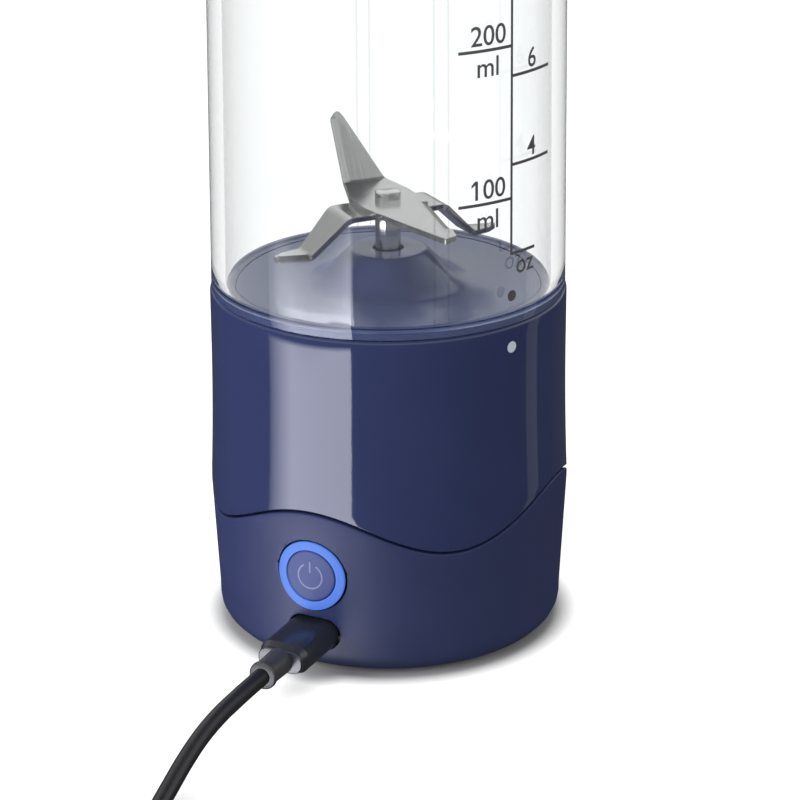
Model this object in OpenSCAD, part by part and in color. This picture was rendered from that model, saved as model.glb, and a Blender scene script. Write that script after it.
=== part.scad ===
// Portable blender: motor base, screw-on clear vessel, drinking lid and charging lead.
// Origin: centre of the base's underside. +Z is up, and the button and charging port face -Y.

/* [Base shells] */
// Radius of the base at its rim
base_r = 36; // [35.6:0.1:40]
// Height of the rim above the table
base_h = 71.5; // [71:0.5:90]
// How far the widest place stands out past the rim
belly_swell = 0.7; // [0.3:0.05:1.5]
// Height of the widest place
belly_z = 31; // [26:1:38]
// How far the foot is drawn in from the rim
foot_taper = 0.65; // [0.2:0.05:1.2]
// Radius of the bottom rounding
bottom_round = 4.4; // [2:0.2:5]
// Height of the shell's underside above the table
shell_lift = 0.6; // [0.4:0.1:1.2]
// Wall of both shells
shell_wall = 2.1; // [1.6:0.1:2.4]
// Bevel round the rim
rim_bevel = 0.7; // [0.3:0.1:1]
// Depth of the locating lip's overlap in the lower shell
lip_drop = 3; // [2:0.5:5]
// Thickness of the locating lip
lip_wall = 0.9; // [0.7:0.1:1.2]

/* [Seam] */
// Width of the groove between the shells
seam_gap = 0.5; // [0.3:0.1:0.8]
// Height of the wave's crests
seam_crest = 34.8; // [32:0.2:37]
// Height of the shallow dip beside the button
seam_dip = 26.8; // [25:0.2:30]
// Height of the low stretches
seam_low = 25.4; // [24.6:0.2:28]

/* [Bottom] */
// Distance of the bottom cover's edge inside the foot
cover_inset = 4.75; // [4.5:0.05:5.5]
// Thickness of the bottom cover
cover_t = 2.2; // [1.8:0.1:2.6]
// Width of the rubber foot ring
foot_w = 4.5; // [3:0.5:5]
// Distance of the foot ring's middle inside the cover's edge
foot_ring_inset = 8; // [7.6:0.2:10]
// Thickness of the rubber foot ring
foot_t = 1.6; // [1.4:0.1:1.8]
// Distance of the cover screws inside the cover's edge
screw_inset = 2.6; // [2.4:0.1:2.8]

/* [Button] */
// Height of the button's centre
button_z = 21.4; // [20.8:0.2:22.4]
// Radius of the button cap
button_r = 5.55; // [5:0.05:6]
// Radial width of the lit ring
ring_w = 1.25; // [0.9:0.05:1.5]
// How far cap and ring stand out of the shell
button_proud = 0.4; // [0.1:0.1:0.4]
// Running gap round the cap and round the ring
button_gap = 0.3; // [0.2:0.05:0.4]
// Travel of the button
button_travel = 0.5; // [0.3:0.1:0.7]

/* [Charging port and plugs] */
// Height of the port's axis
port_z = 8.8; // [8.6:0.1:9.4]
// Width of the plug's overmould
plug_w = 10.6; // [10:0.2:12]
// Thickness of the plug's overmould
plug_t = 6; // [5:0.2:6.4]
// Length of the plug's overmould
plug_len = 15.2; // [13:0.2:18]
// Length of the tapered neck behind the plug
plug_neck_len = 7.5; // [5:0.5:10]
// Width of the far plug's overmould
far_plug_w = 15.6; // [14:0.2:16]
// Thickness of the far plug's overmould
far_plug_t = 8; // [7:0.2:8.4]
// Length of the far plug's overmould
far_plug_len = 17; // [15:0.5:20]
// Diameter of the cord
cord_d = 3.5; // [3:0.1:3.8]

/* [Electrics] */
// Room left beside each battery cell
cell_room = 0.85; // [0.6:0.05:2]
// Room left above each battery cell
cell_head_room = 2.5; // [2:0.1:6]
// Thickness of the circuit boards
board_t = 1.6; // [1:0.1:1.6]
// Diameter of the motor can
motor_d = 24.4; // [22:0.2:24.6]
// Length of the motor can
motor_len = 30.8; // [28:0.2:33]
// Diameter of the motor's own shaft
motor_shaft_d = 3; // [2:0.1:3.2]

/* [Chassis and deck] */
// Thickness of the chassis plate
plate_t = 2.5; // [2:0.1:3]
// Wall of the motor sleeve and cell cups
sleeve_wall = 0.85; // [0.6:0.05:0.9]
// Depth of the slot that takes the vessel's neck
slot_depth = 10; // [9:0.5:10]
// Thickness of the deck's flange
flange_t = 1.5; // [1:0.1:1.6]
// Depth of the deck below the rim
deck_drop = 3; // [2:0.2:4]
// Radius of the hub's flat top
hub_top_r = 7.8; // [7.6:0.1:9]
// Radius of the hub at its foot
hub_foot_r = 17; // [16:0.5:19]
// Height of the hub above the deck
hub_h = 10.8; // [10.6:0.2:12]

/* [Blades] */
// Diameter of the blade shaft
shaft_d = 5.2; // [4.6:0.1:5.4]
// Height of the lower blade above the hub
blade_rise = 7.7; // [7:0.1:9]
// Thickness of each blade
blade_t = 1.2; // [1:0.1:1.5]
// Gap between the upper blade's tip and the vessel's neck
tip_gap = 2.25; // [1.5:0.25:6]
// Width of the upper blade at the shaft
blade_w = 13.4; // [12:0.2:14]
// Length of the wing that is bent upwards
wing_len = 14; // [11:0.5:16]
// Angle of the wing that is bent upwards
wing_angle = 57; // [45:1:70]
// Height that the lower blade's tips drop
tip_drop = 7.2; // [5:0.2:7.4]
// Gap between the lower blade's tips and the vessel's neck
low_tip_gap = 6.25; // [4:0.25:8]

/* [Vessel] */
// Step from the rim in to the vessel's foot
vessel_step = 0.3; // [0:0.05:0.6]
// How much the vessel's radius shrinks towards its mouth
vessel_taper = 1; // [0:0.1:1.5]
// Height of the vessel above the rim
vessel_h = 117; // [90:1:150]
// Wall of the vessel
vessel_wall = 2.95; // [2.4:0.05:3.1]
// Gap between the rim and the vessel's foot
rim_gap = 1.5; // [1:0.1:2]
// Wall of the vessel's threaded neck
neck_wall = 1.75; // [1.5:0.05:1.8]
// Height of the vessel's threaded mouth
mouth_h = 11.5; // [11:0.5:12]
// Depth of the ribs inside the vessel
rib_depth = 1.3; // [0.8:0.1:1.6]
// Width of the ribs inside the vessel
rib_w = 2.2; // [1.5:0.1:3]
// Rise of both threads in one turn
thread_lead = 12; // [12:0.5:14]
// Depth of each thread ridge
thread_h = 0.65; // [0.5:0.05:0.7]

/* [Lid] */
// Step from the vessel's top out to the lid
lid_step = 0.1; // [0:0.05:0.4]
// Thickness of the lid's top
lid_t = 2.4; // [2:0.1:3]
// Outer radius of the spout
spout_r = 8.4; // [7.5:0.1:8.6]
// Height of the spout above the lid
spout_h = 10; // [9:0.5:12]
// Distance of the spout from the middle of the lid
spout_y = 15.5; // [15:0.5:17]
// Radius of the flip cap
cap_r = 10.4; // [10:0.1:10.6]
// Thickness of the flip cap
cap_t = 3.2; // [2.6:0.1:3.4]
// Width of the carry loop's bar
loop_w = 4.6; // [4:0.1:4.8]
// Thickness of the carry loop's bar
loop_t = 3.6; // [3:0.1:4]

/* [Hidden] */
$fn = 96;

// Colours
navy_gloss = [0.16, 0.19, 0.36];
navy_satin = [0.20, 0.24, 0.42];
dark_plastic = [0.12, 0.12, 0.14];
board_green = [0.10, 0.35, 0.22];

// Clearances: still parts of one body, moving parts, and turning fits
seat_gap = 0.1;
move_gap = 0.3;
run_gap = 0.04;
// Overlength that carries a cut clear of the face it starts from
over = 1;

// Shell radii
belly_r = base_r + belly_swell;
foot_r = base_r - foot_taper;
foot_in_r = foot_r - shell_wall - 0.7;
lip_out_r = base_r - 2.2;
lip_in_r = lip_out_r - lip_wall;
shell_in_r = base_r - shell_wall;
straight_z = base_h - 11.5;
round_top_z = shell_lift + bottom_round;
lip_z = seam_low - lip_drop;

// Bottom stack
cover_r = foot_r - cover_inset;
foot_ring_r = cover_r - foot_ring_inset;
screw_circle_r = cover_r - screw_inset;
cover_top_z = shell_lift + cover_t;
ledge_z = cover_top_z + seat_gap;
ledge_top_z = ledge_z + 1.7;
ledge_in_r = screw_circle_r - 2.4;
cell_z = ledge_top_z + seat_gap;
screw_angles = [90, 215, 325];
screw_head_r = 2.1;
screw_r = 1.2;

// Top stack
slot_r = base_r - 2.55;
neck_r = slot_r - thread_h - move_gap;
neck_in_r = neck_r - neck_wall;
deck_r = neck_in_r - 0.5;
slot_z = base_h - slot_depth;
flange_z = slot_z - flange_t;
plate_top_z = flange_z - move_gap;
plate_z = plate_top_z - plate_t;
plate_r = lip_in_r - move_gap;
deck_z = base_h - deck_drop;
hub_z = deck_z + hub_h;
pocket_r = 6;
chassis_screw_r = deck_r - 6.25;
deck_screw_angles = [45, 135, 225, 315];
motor_screw_x = 8;

// Motor and cells
motor_top_z = plate_z - seat_gap;
motor_z = motor_top_z - motor_len;
motor_r = motor_d / 2;
sleeve_in_r = motor_r + seat_gap;
sleeve_out_r = sleeve_in_r + sleeve_wall;
cell_out_r = min(lip_in_r - 1.2, foot_in_r - cell_room);
cell_in_x = sleeve_out_r + seat_gap + sleeve_wall - 0.4;
cell_r = (cell_out_r - cell_in_x) / 2;
cell_x = cell_in_x + cell_r;
cell_top_z = plate_z - cell_head_room;
cup_z = cell_top_z - 9;
can_wall = 0.8;
armature_r = motor_r - can_wall - 2.5;

// Shaft train
coupling_z = plate_top_z + 0.8;
coupling_len = 6.5;
coupling_r = 5;
joint_z = coupling_z + coupling_len / 2;
lower_blade_z = hub_z + blade_rise;
upper_blade_z = lower_blade_z + blade_t;
shaft_top_z = upper_blade_z + 2 * blade_t - 0.1;
blade_reach = neck_in_r - tip_gap;
tip_reach = neck_in_r - low_tip_gap;
shaft_flat = shaft_d * 0.68;
blade_fit = 0.02;
upper_blade_angle = -41;
lower_blade_angle = 52;

// Button, measured outwards along -Y
ring_in_r = button_r + button_gap;
ring_out_r = ring_in_r + ring_w;
button_face_r = body_r(button_z) + button_proud;
button_board_y = body_r(button_z) - 10.6;
switch_y = button_board_y + 3.5;
plunger_y = switch_y + 1.3;
cap_back_y = plunger_y + seat_gap;

// Port, measured outwards along -Y
usb_w = 8.94;
usb_t = 3.26;
usb_wall = 0.3;
usb_fit = 0.045;
usb_len = 7.3;
socket_y = body_r(port_z) - 1.65;
plug_y = body_r(port_z) - 0.75;
port_fit = 0.4;
main_board_z = port_z - usb_t / 2 - board_t;
main_board_edge_y = cell_r + 1.2;

// Vessel and lid
vessel_r = base_r - vessel_step;
vessel_top_r = vessel_r - vessel_taper;
lid_r = vessel_top_r + lid_step;
vessel_z = base_h + rim_gap;
mouth_z = vessel_z + vessel_h;
shoulder_z = mouth_z - mouth_h;
mouth_r = vessel_top_r - 2.9;
mouth_in_r = mouth_r - 2.4;
lid_in_r = mouth_r + thread_h + move_gap;
lid_gasket_t = 1.2;
lid_under_z = mouth_z + lid_gasket_t + 2 * seat_gap;
lid_top_z = lid_under_z + lid_t;
lid_foot_z = shoulder_z + 0.6;
spout_top_z = lid_top_z + spout_h;
spout_in_r = spout_r - 2.2;
hinge_y = spout_y - cap_r - 0.2;
hinge_z = spout_top_z - 1.5;
hinge_r = 1.8;
hinge_pin_r = 1;
loop_r = lid_r - 4.3;
loop_z = lid_top_z + loop_t;
loop_eye_r = 3.2;
loop_pin_r = 1.5;
loop_ear_x = loop_r - loop_w / 2 - move_gap;
rib_angles = [-47, 125];
magnet_angle = -50;

// Threads: ridges of three starts, each a part of a turn
ridge_turn = 100;
ridge_step = 10;
ridge_foot = 1.25;
ridge_crest = 0.4;
ridge_sunk = 0.8;
flank_shift = 1.75;
base_thread_z = base_h - 4.9;
lid_thread_z = mouth_z - 5.2;

// Cord route: its points are chosen by hand. It leaves the neck level, sinks to the table and joins a
// flat coil of 3.6 turns, whose inner end rises to the far plug that lies on the coil
cord_start_y = plug_y + plug_len + plug_neck_len;
coil_x = -14;
coil_y = -141;
coil_in_r = 10;
coil_out_r = 26;
coil_z = 0.4;
coil_top_z = coil_z + cord_d;
far_axis_z = coil_top_z + seat_gap + far_plug_t / 2;
far_axis_y = coil_y + 9;
far_neck_x = coil_x + 2;
far_neck_len = 7;
far_shell_len = 12;
cord_points = [
    [0, -cord_start_y, port_z], [0, -62, port_z], [0, -68, 8.7], [0.05, -75, 8.4], [0.3, -82, 7.6],
    [0.8, -89, 6.2], [1.6, -96, 4.6], [2.6, -103, 3.2], [3.7, -109, 2.4], [4.9, -115, 2.15],
    [6.1, -121, 2.15], [7.4, -127, 2.15], [8.8, -132, 2.15]];
tail_points = [
    [-25.2, -137.8, 2.2], [-23.7, -135.4, 2.9], [-21.5, -133.5, 4.1], [-18.6, -132.35, 5.8],
    [-16.1, -131.95, 7.2], [-14, far_axis_y, 7.85], [-12, far_axis_y, far_axis_z]];
cord_sides = 8;

// ---------- shared shapes ----------

// Places its children at radius r and angle a about Z
module place(r, a) {
    rotate([0, 0, a]) translate([r, 0, 0]) children();
}

// Ring or pipe about Z
module pipe(r_in, r_out, z0, z1) {
    translate([0, 0, z0]) difference() {
        cylinder(r = r_out, h = z1 - z0);
        translate([0, 0, -over]) cylinder(r = r_in, h = z1 - z0 + 2 * over);
    }
}

// Rod about Z
module rod(r, z0, z1) {
    translate([0, 0, z0]) cylinder(r = r, h = z1 - z0);
}

// Rod along -Y, from y0 to y1 out of the axis at height z
module front_rod(r, z, y0, y1, x = 0) {
    translate([x, -y0, z]) rotate([90, 0, 0]) cylinder(r = r, h = y1 - y0);
}

// Pipe along -Y
module front_pipe(r_in, r_out, z, y0, y1) {
    difference() {
        front_rod(r_out, z, y0, y1);
        front_rod(r_in, z, y0 - over, y1 + over);
    }
}

// Rod along X
module cross_rod(r, x0, x1, y, z) {
    translate([x0, y, z]) rotate([0, 90, 0]) cylinder(r = r, h = x1 - x0);
}

// Straight rod between two points
module rod_between(p, q, r) {
    d = q - p;
    translate(p) rotate([0, acos(d[2] / norm(d)), atan2(d[1], d[0])]) cylinder(r = r, h = norm(d), $fn = 24);
}

// Flat slot outline with round ends, w wide and t high
module slot_shape(w, t) {
    square([w - t, t], center = true);
    for (side = [-1, 1]) translate([side * (w - t) / 2, 0]) circle(d = t, $fn = 48);
}

// Slot-shaped bar along -Y
module front_bar(w, t, z, y0, y1) {
    translate([0, -y0, z]) rotate([90, 0, 0]) linear_extrude(y1 - y0) slot_shape(w, t);
}

// Bar along -Y with rounded edges of radius r
module rounded_shape(w, t, r) {
    square([w - 2 * r, t], center = true);
    square([w, t - 2 * r], center = true);
    for (sx = [-1, 1], sy = [-1, 1])
        translate([sx * (w / 2 - r), sy * (t / 2 - r)]) circle(r = r, $fn = 32);
}

// Skin through a row of equal rings of points, closed into a loop or capped
module skin(rings, closed = false) {
    m = len(rings[0]);
    n = len(rings);
    points = [for (ring = rings) each ring];
    sides = [for (i = [0:n - (closed ? 1 : 2)], k = [0:m - 1])
        [i * m + k, i * m + (k + 1) % m, ((i + 1) % n) * m + (k + 1) % m, ((i + 1) % n) * m + k]];
    caps = closed ? [] : [[for (k = [m - 1:-1:0]) k], [for (k = [0:m - 1]) (n - 1) * m + k]];
    polyhedron(points, concat(sides, caps), convexity = 6);
}

// Point at radius r, angle a and height z
function polar(r, a, z) = [r * cos(a), r * sin(a), z];

// Part of a screw thread: a ridge whose crest is at one radius and whose foot is sunk into the wall
module ridge(crest_r, sunk_r, start_z, start_a) {
    rings = [for (a = [0:ridge_step:ridge_turn])
        let (z = start_z + thread_lead * a / 360, b = start_a + a,
             outline = [
                 polar(crest_r, b, z - ridge_crest), polar(sunk_r, b, z - ridge_foot),
                 polar(sunk_r, b, z + ridge_foot), polar(crest_r, b, z + ridge_crest)])
        crest_r < sunk_r ? outline : [for (k = [3:-1:0]) outline[k]]];
    skin(rings);
}

// Three ridges on a wall of radius root_r
module ridges(root_r, crest_r, start_z) {
    sunk_r = root_r + ridge_sunk * sign(root_r - crest_r);
    for (k = [0:2]) ridge(crest_r, sunk_r, start_z, 120 * k + 15);
}

// Outer radius of the base at height z
function body_r(z) =
    z < belly_z ? foot_r + (belly_r - foot_r) * max(0, z - round_top_z) / (belly_z - round_top_z)
    : z < straight_z ? base_r + (belly_r - base_r) * pow((straight_z - z) / (straight_z - belly_z), 2)
    : base_r;

// Height of the wavy seam at angle a, counted from the button towards +X
seam_knots = [
    [0, seam_crest], [47, seam_dip], [93, seam_crest], [143, seam_low + 0.6], [160, seam_low],
    [226, seam_crest], [293, seam_low], [310, seam_low + 0.6], [360, seam_crest]];
function ease(t) = (1 - cos(180 * t)) / 2;
function seam_z(a, k = 0) =
    a <= seam_knots[k + 1][0]
    ? seam_knots[k][1] + (seam_knots[k + 1][1] - seam_knots[k][1])
        * ease((a - seam_knots[k][0]) / (seam_knots[k + 1][0] - seam_knots[k][0]))
    : seam_z(a, k + 1);

// Block that takes away everything above or below the seam, outside radius r
module seam_block(r, above) {
    far_r = belly_r + 4;
    rings = [for (a = [0:5:355])
        let (z = seam_z(a) + (above ? -1 : 1) * seam_gap / 2,
             low = above ? z : 0,
             high = above ? base_h : z)
        [polar(r, a - 90, low), polar(far_r, a - 90, low), polar(far_r, a - 90, high),
         polar(r, a - 90, high)]];
    skin(rings, closed = true);
}

// ---------- base shells ----------

module lower_shell() {
    top_z = seam_crest + 1;
    outline = concat(
        [[cover_r + 0.4, shell_lift]],
        [for (t = [0:15:90]) [foot_r - bottom_round + bottom_round * sin(t),
                              round_top_z - bottom_round * cos(t)]],
        [for (z = [15, 23, belly_z, top_z]) [body_r(z), z]],
        [[lip_out_r + move_gap, top_z], [lip_out_r + move_gap, lip_z],
         [foot_in_r + 0.7, round_top_z + 3], [foot_in_r, ledge_top_z],
         [ledge_in_r, ledge_top_z], [ledge_in_r, ledge_z], [cover_r + 0.4, ledge_z]]);
    color(navy_satin) difference() {
        union() {
            rotate_extrude() polygon(outline);
            for (a = screw_angles) place(screw_circle_r, a) rod(2.4, ledge_z, ledge_top_z + 5);
            // Posts that hold the button board
            intersection() {
                for (side = [-1, 1])
                    translate([side * 10.6 - 1.1, -body_r(button_z), 13])
                        cube([2.2, body_r(button_z) - button_board_y, 9]);
                rod(foot_r - 1, 0, base_h);
            }
        }
        seam_block(lip_out_r - 1, above = true);
        front_rod(ring_out_r + button_gap, button_z, socket_y - 3, belly_r + over);
        front_bar(plug_w + 2 * port_fit, plug_t + 2 * port_fit, port_z, socket_y - 3, belly_r + over);
        for (a = screw_angles) place(screw_circle_r, a)
            rod(screw_r + seat_gap, ledge_z - over, ledge_top_z + 4);
    }
}

module upper_shell() {
    outline = concat(
        [[lip_in_r, lip_z], [body_r(lip_z), lip_z]],
        [for (z = [belly_z, belly_z + 4, belly_z + 9, belly_z + 15, belly_z + 21, straight_z])
            [body_r(z), z]],
        [[base_r, base_h - rim_bevel], [base_r - rim_bevel, base_h], [slot_r, base_h],
         [slot_r, flange_z - seat_gap], [lip_in_r, flange_z - seat_gap],
         [lip_in_r, plate_z], [shell_in_r, plate_z - 2], [shell_in_r, seam_crest + 8],
         [lip_in_r, seam_crest + 4]]);
    color(navy_gloss) {
        difference() {
            rotate_extrude() polygon(outline);
            seam_block(lip_out_r, above = false);
            front_rod(ring_out_r + button_gap, button_z, socket_y - 3, belly_r + over);
        }
        ridges(slot_r, neck_r + move_gap, base_thread_z);
    }
}

module bottom_cover() {
    color(navy_satin) difference() {
        union() {
            rod(cover_r, shell_lift, cover_top_z);
            // Posts under the main board
            for (x = [-12, 12]) translate([x, -main_board_edge_y - 4, 0])
                rod(1.8, cover_top_z - 0.2, main_board_z - seat_gap);
        }
        pipe(foot_ring_r - foot_w / 2 - seat_gap, foot_ring_r + foot_w / 2 + seat_gap,
             shell_lift - over, foot_t + seat_gap / 2);
        for (a = screw_angles) place(screw_circle_r, a) {
            rod(screw_r + 0.2, 0, cover_top_z + over);
            rod(screw_head_r + 0.2, 0, shell_lift + 1.2);
        }
    }
}

module foot_ring() {
    color(dark_plastic) pipe(foot_ring_r - foot_w / 2, foot_ring_r + foot_w / 2, 0, foot_t);
}

module cover_screws() {
    color("silver") for (a = screw_angles) place(screw_circle_r, a) difference() {
        union() {
            rod(screw_head_r, shell_lift + 0.1, shell_lift + 1.1);
            rod(screw_r, shell_lift + 1, ledge_top_z + 3);
        }
        for (b = [0, 90]) rotate([0, 0, b]) translate([-1.3, -0.25, 0]) cube([2.6, 0.5, shell_lift + 0.6]);
    }
}

// ---------- deck and chassis ----------

module blade_deck() {
    slope = (hub_foot_r - hub_top_r) / hub_h;
    skirt = deck_r - 2;
    outline = [
        [shaft_d / 2 + 0.5, hub_z], [hub_top_r, hub_z], [hub_foot_r, deck_z + 0.4],
        [hub_foot_r + 2.5, deck_z - 0.1], [deck_r - 1.2, deck_z - 0.5], [deck_r, deck_z - 1.4],
        [deck_r, slot_z], [slot_r - seat_gap, slot_z], [slot_r - seat_gap, flange_z],
        [skirt, flange_z], [skirt, deck_z - 2.5], [hub_foot_r - 1.6, deck_z - 1.8],
        [hub_foot_r - 1.8 - slope * 5, deck_z + 5], [pocket_r + 2.1, deck_z + 5],
        [pocket_r + 2.1, deck_z - 0.5], [pocket_r, deck_z - 0.5], [pocket_r, hub_z - 0.6],
        [shaft_d / 2 + 0.5, hub_z - 0.6]];
    color(navy_satin) difference() {
        union() {
            rotate_extrude() polygon(outline);
            for (a = deck_screw_angles) place(chassis_screw_r, a) rod(2.6, flange_z, deck_z - 1.5);
        }
        for (a = deck_screw_angles) place(chassis_screw_r, a)
            rod(screw_r + seat_gap, flange_z - over, flange_z + 5.5);
    }
}

module chassis() {
    color(dark_plastic) difference() {
        union() {
            rod(plate_r, plate_z, plate_top_z);
            rod(sleeve_out_r, motor_top_z - motor_len / 2, plate_z + seat_gap);
            intersection() {
                for (side = [-1, 1]) translate([side * cell_x, 0, 0])
                    rod(cell_r + seat_gap + sleeve_wall, cup_z, plate_z + seat_gap);
                rod(plate_r, 0, plate_top_z);
            }
        }
        rod(motor_shaft_d / 2 + 2, 0, plate_top_z + over);
        rod(sleeve_in_r, 0, plate_z);
        for (side = [-1, 1]) {
            translate([side * cell_x, 0, 0]) rod(cell_r + seat_gap, 0, plate_z);
            translate([side * motor_screw_x, 0, 0])
                rod(screw_r + seat_gap, plate_z - over, plate_top_z + over);
        }
        for (a = deck_screw_angles) place(chassis_screw_r, a)
            rod(screw_r + seat_gap, plate_z - over, plate_top_z + over);
    }
}

module chassis_screws() {
    color("silver") for (a = deck_screw_angles) place(chassis_screw_r, a) {
        rod(screw_head_r, plate_z - 1.6, plate_z - seat_gap / 2);
        rod(screw_r, plate_z - seat_gap, flange_z + 5);
    }
}

// ---------- motor ----------

module motor_can() {
    color("silver") difference() {
        union() {
            rod(motor_r, motor_z + 1.6, motor_top_z);
            rod(motor_shaft_d / 2 + 1.8, motor_top_z - over, motor_top_z + 1.6);
        }
        rod(motor_r - can_wall, motor_z, motor_top_z - can_wall);
        rod(motor_shaft_d / 2 + run_gap, motor_z, plate_top_z);
        for (side = [-1, 1]) translate([side * motor_screw_x, 0, 0])
            rod(screw_r + seat_gap, motor_top_z - 2, motor_top_z + over);
    }
}

module motor_end_cap() {
    color(dark_plastic) difference() {
        union() {
            rod(motor_r, motor_z, motor_z + 1.5);
            rod(motor_r - can_wall - seat_gap, motor_z + 1, motor_z + 3.4);
            // Brush holders
            for (side = [-1, 1]) translate([side * 5.6 - 2, -1.6, motor_z + 3]) cube([4, 3.2, 3]);
        }
        rod(motor_shaft_d / 2 + run_gap, motor_z - over, motor_z + 4);
    }
}

module motor_magnets() {
    out_r = motor_r - can_wall - seat_gap;
    color("dimgray") difference() {
        pipe(armature_r + 0.5, out_r, motor_z + 6, motor_top_z - 3);
        for (side = [-1, 1]) translate([side * (motor_r + 3) - motor_r / 2 - 3, -3.4, motor_z])
            cube([motor_r + 6, 6.8, motor_len]);
        translate([-3.4, -motor_r, motor_z]) cube([6.8, motor_d, motor_len]);
    }
}

module motor_screws() {
    color("silver") for (side = [-1, 1]) translate([side * motor_screw_x, 0, 0]) {
        rod(screw_head_r - 0.1, plate_top_z + seat_gap / 2, plate_top_z + 1.2);
        rod(screw_r, motor_top_z - 1.6, plate_top_z + over);
    }
}

module armature() {
    shaft_r = motor_shaft_d / 2;
    color("peru") {
        rod(shaft_r, motor_z - 1, joint_z);
        // Three wound poles
        difference() {
            rod(armature_r, motor_z + 9, motor_top_z - 6);
            for (a = [0, 120, 240]) rotate([0, 0, a]) translate([armature_r * 0.45, -0.8, motor_z])
                cube([armature_r, 1.6, motor_len]);
        }
        // Commutator
        rod(shaft_r + 1.2, motor_z + 4.2, motor_z + 8.4);
    }
}

module motor_leads() {
    color("firebrick") for (side = [-1, 1])
        rod_between([side * 5, -9, motor_z - seat_gap],
                    [side * 6, -main_board_edge_y - 3, main_board_z + board_t + 0.6], 0.6);
}

// ---------- shaft train and blades ----------

module shaft_bush() {
    color("goldenrod") difference() {
        pipe(shaft_d / 2 + run_gap, pocket_r - seat_gap / 2, deck_z, hub_z - 3.2);
        pipe(pocket_r - 1, pocket_r + over, deck_z - over, deck_z + 0.6);
    }
}

module shaft_seal() {
    color(dark_plastic) pipe(shaft_d / 2 + run_gap, pocket_r - seat_gap / 2, hub_z - 3.1, hub_z - 0.7);
}

module shaft_coupling() {
    color("silver") difference() {
        rod(coupling_r, coupling_z, coupling_z + coupling_len);
        rod(motor_shaft_d / 2 + 0.01, coupling_z - over, joint_z + 0.1);
        rod(shaft_d / 2 + 0.01, joint_z, coupling_z + coupling_len + over);
    }
}

module blade_shaft() {
    color("silver") difference() {
        rod(shaft_d / 2, joint_z + 0.1, shaft_top_z);
        // Flats of the end that drives the blades
        rotate([0, 0, upper_blade_angle]) for (side = [0, 180]) rotate([0, 0, side])
            translate([-shaft_d, shaft_flat / 2, lower_blade_z])
                cube([2 * shaft_d, shaft_d, shaft_top_z - lower_blade_z + over]);
    }
}

// Hole for the flattened shaft end, cut through a blade that is turned by a
module blade_hole(a) {
    rotate([0, 0, upper_blade_angle - a]) intersection() {
        rod(shaft_d / 2 + blade_fit, lower_blade_z - 2 * over, shaft_top_z + over);
        translate([-shaft_d, -shaft_flat / 2 - blade_fit, 0])
            cube([2 * shaft_d, shaft_flat + 2 * blade_fit, shaft_top_z + 2 * over]);
    }
}

module upper_blade() {
    fold = 14;
    half = blade_w / 2;
    // The wing starts this far inside the flat's end
    nest = 0.05;
    plan = [[-fold - nest, -half * 0.55], [-4, -half], [4, -half], [blade_reach, -0.6],
            [blade_reach - 1.3, 2.2], [blade_reach - 5.5, 3.4], [4.7, half], [-4.9, half],
            [-fold - nest, half * 0.8]];
    wing = [[0, nest - half * 0.8], [wing_len - 1.6, 0.6], [wing_len, 1.6], [wing_len, 2.4],
            [wing_len - 1, 3.2], [0, half * 0.55 - nest]];
    color("silver") difference() {
        rotate([0, 0, upper_blade_angle]) union() {
            translate([0, 0, upper_blade_z]) linear_extrude(blade_t) polygon(plan);
            // Wing bent upwards
            translate([-fold, 0, upper_blade_z + nest]) rotate([0, 0, 180]) rotate([0, -wing_angle, 0])
                linear_extrude(blade_t) polygon(wing);
        }
        rotate([0, 0, upper_blade_angle]) blade_hole(upper_blade_angle);
    }
}

module lower_blade() {
    bend = 10.5;
    elbow = bend + 7.4;
    slope_len = norm([elbow - bend, tip_drop]);
    slope_angle = atan2(tip_drop, elbow - bend);
    arm = [[-0.2, -4.7], [slope_len, -2.9], [slope_len, 2.9], [-0.2, 4.7]];
    tip = [[-0.3, -2.9], [tip_reach - elbow - 2.5, -2], [tip_reach - elbow, -0.4],
           [tip_reach - elbow - 0.4, 1.2], [-0.3, 2.9]];
    color("silver") difference() {
        rotate([0, 0, lower_blade_angle]) for (turn = [0, 180]) rotate([0, 0, turn]) {
            translate([-1, -4.7, lower_blade_z]) cube([bend + 1, 9.4, blade_t]);
            translate([bend, 0, lower_blade_z + blade_t]) rotate([0, slope_angle, 0])
                translate([0, 0, -blade_t]) linear_extrude(blade_t) polygon(arm);
            translate([elbow, 0, lower_blade_z - tip_drop]) linear_extrude(blade_t) polygon(tip);
        }
        rotate([0, 0, lower_blade_angle]) blade_hole(lower_blade_angle);
    }
}

// ---------- cells, boards and port ----------

module cell(side) {
    color("seagreen") translate([side * cell_x, 0, 0]) {
        rod(cell_r, cell_z, cell_top_z);
        rod(3, cell_top_z - 0.1, cell_top_z + 0.7);
    }
}
module cell_left() cell(-1);
module cell_right() cell(1);

module cell_links() {
    strap_z = cell_z - 0.25;
    color("lightgray") {
        translate([-cell_x, -3, strap_z]) cube([2 * cell_x, 6, 0.2]);
        for (side = [-1, 1]) translate([side * cell_x, 0, 0])
            rod(4.5, cell_top_z + 0.75, cell_top_z + 0.95);
    }
}

module cell_pads() {
    color("dimgray") for (side = [-1, 1]) translate([side * (ledge_in_r - 6), 0, 0])
        rod(5.4, cover_top_z + 0.05, cell_z - 0.3);
}

module main_board() {
    board_r = foot_r - shell_wall - 1;
    color(board_green) difference() {
        intersection() {
            rod(board_r, main_board_z, main_board_z + board_t);
            translate([-board_r, -board_r, 0]) cube([2 * board_r, board_r - main_board_edge_y, base_h]);
        }
        for (a = screw_angles) place(screw_circle_r, a) rod(2.9, 0, base_h);
    }
}

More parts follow.
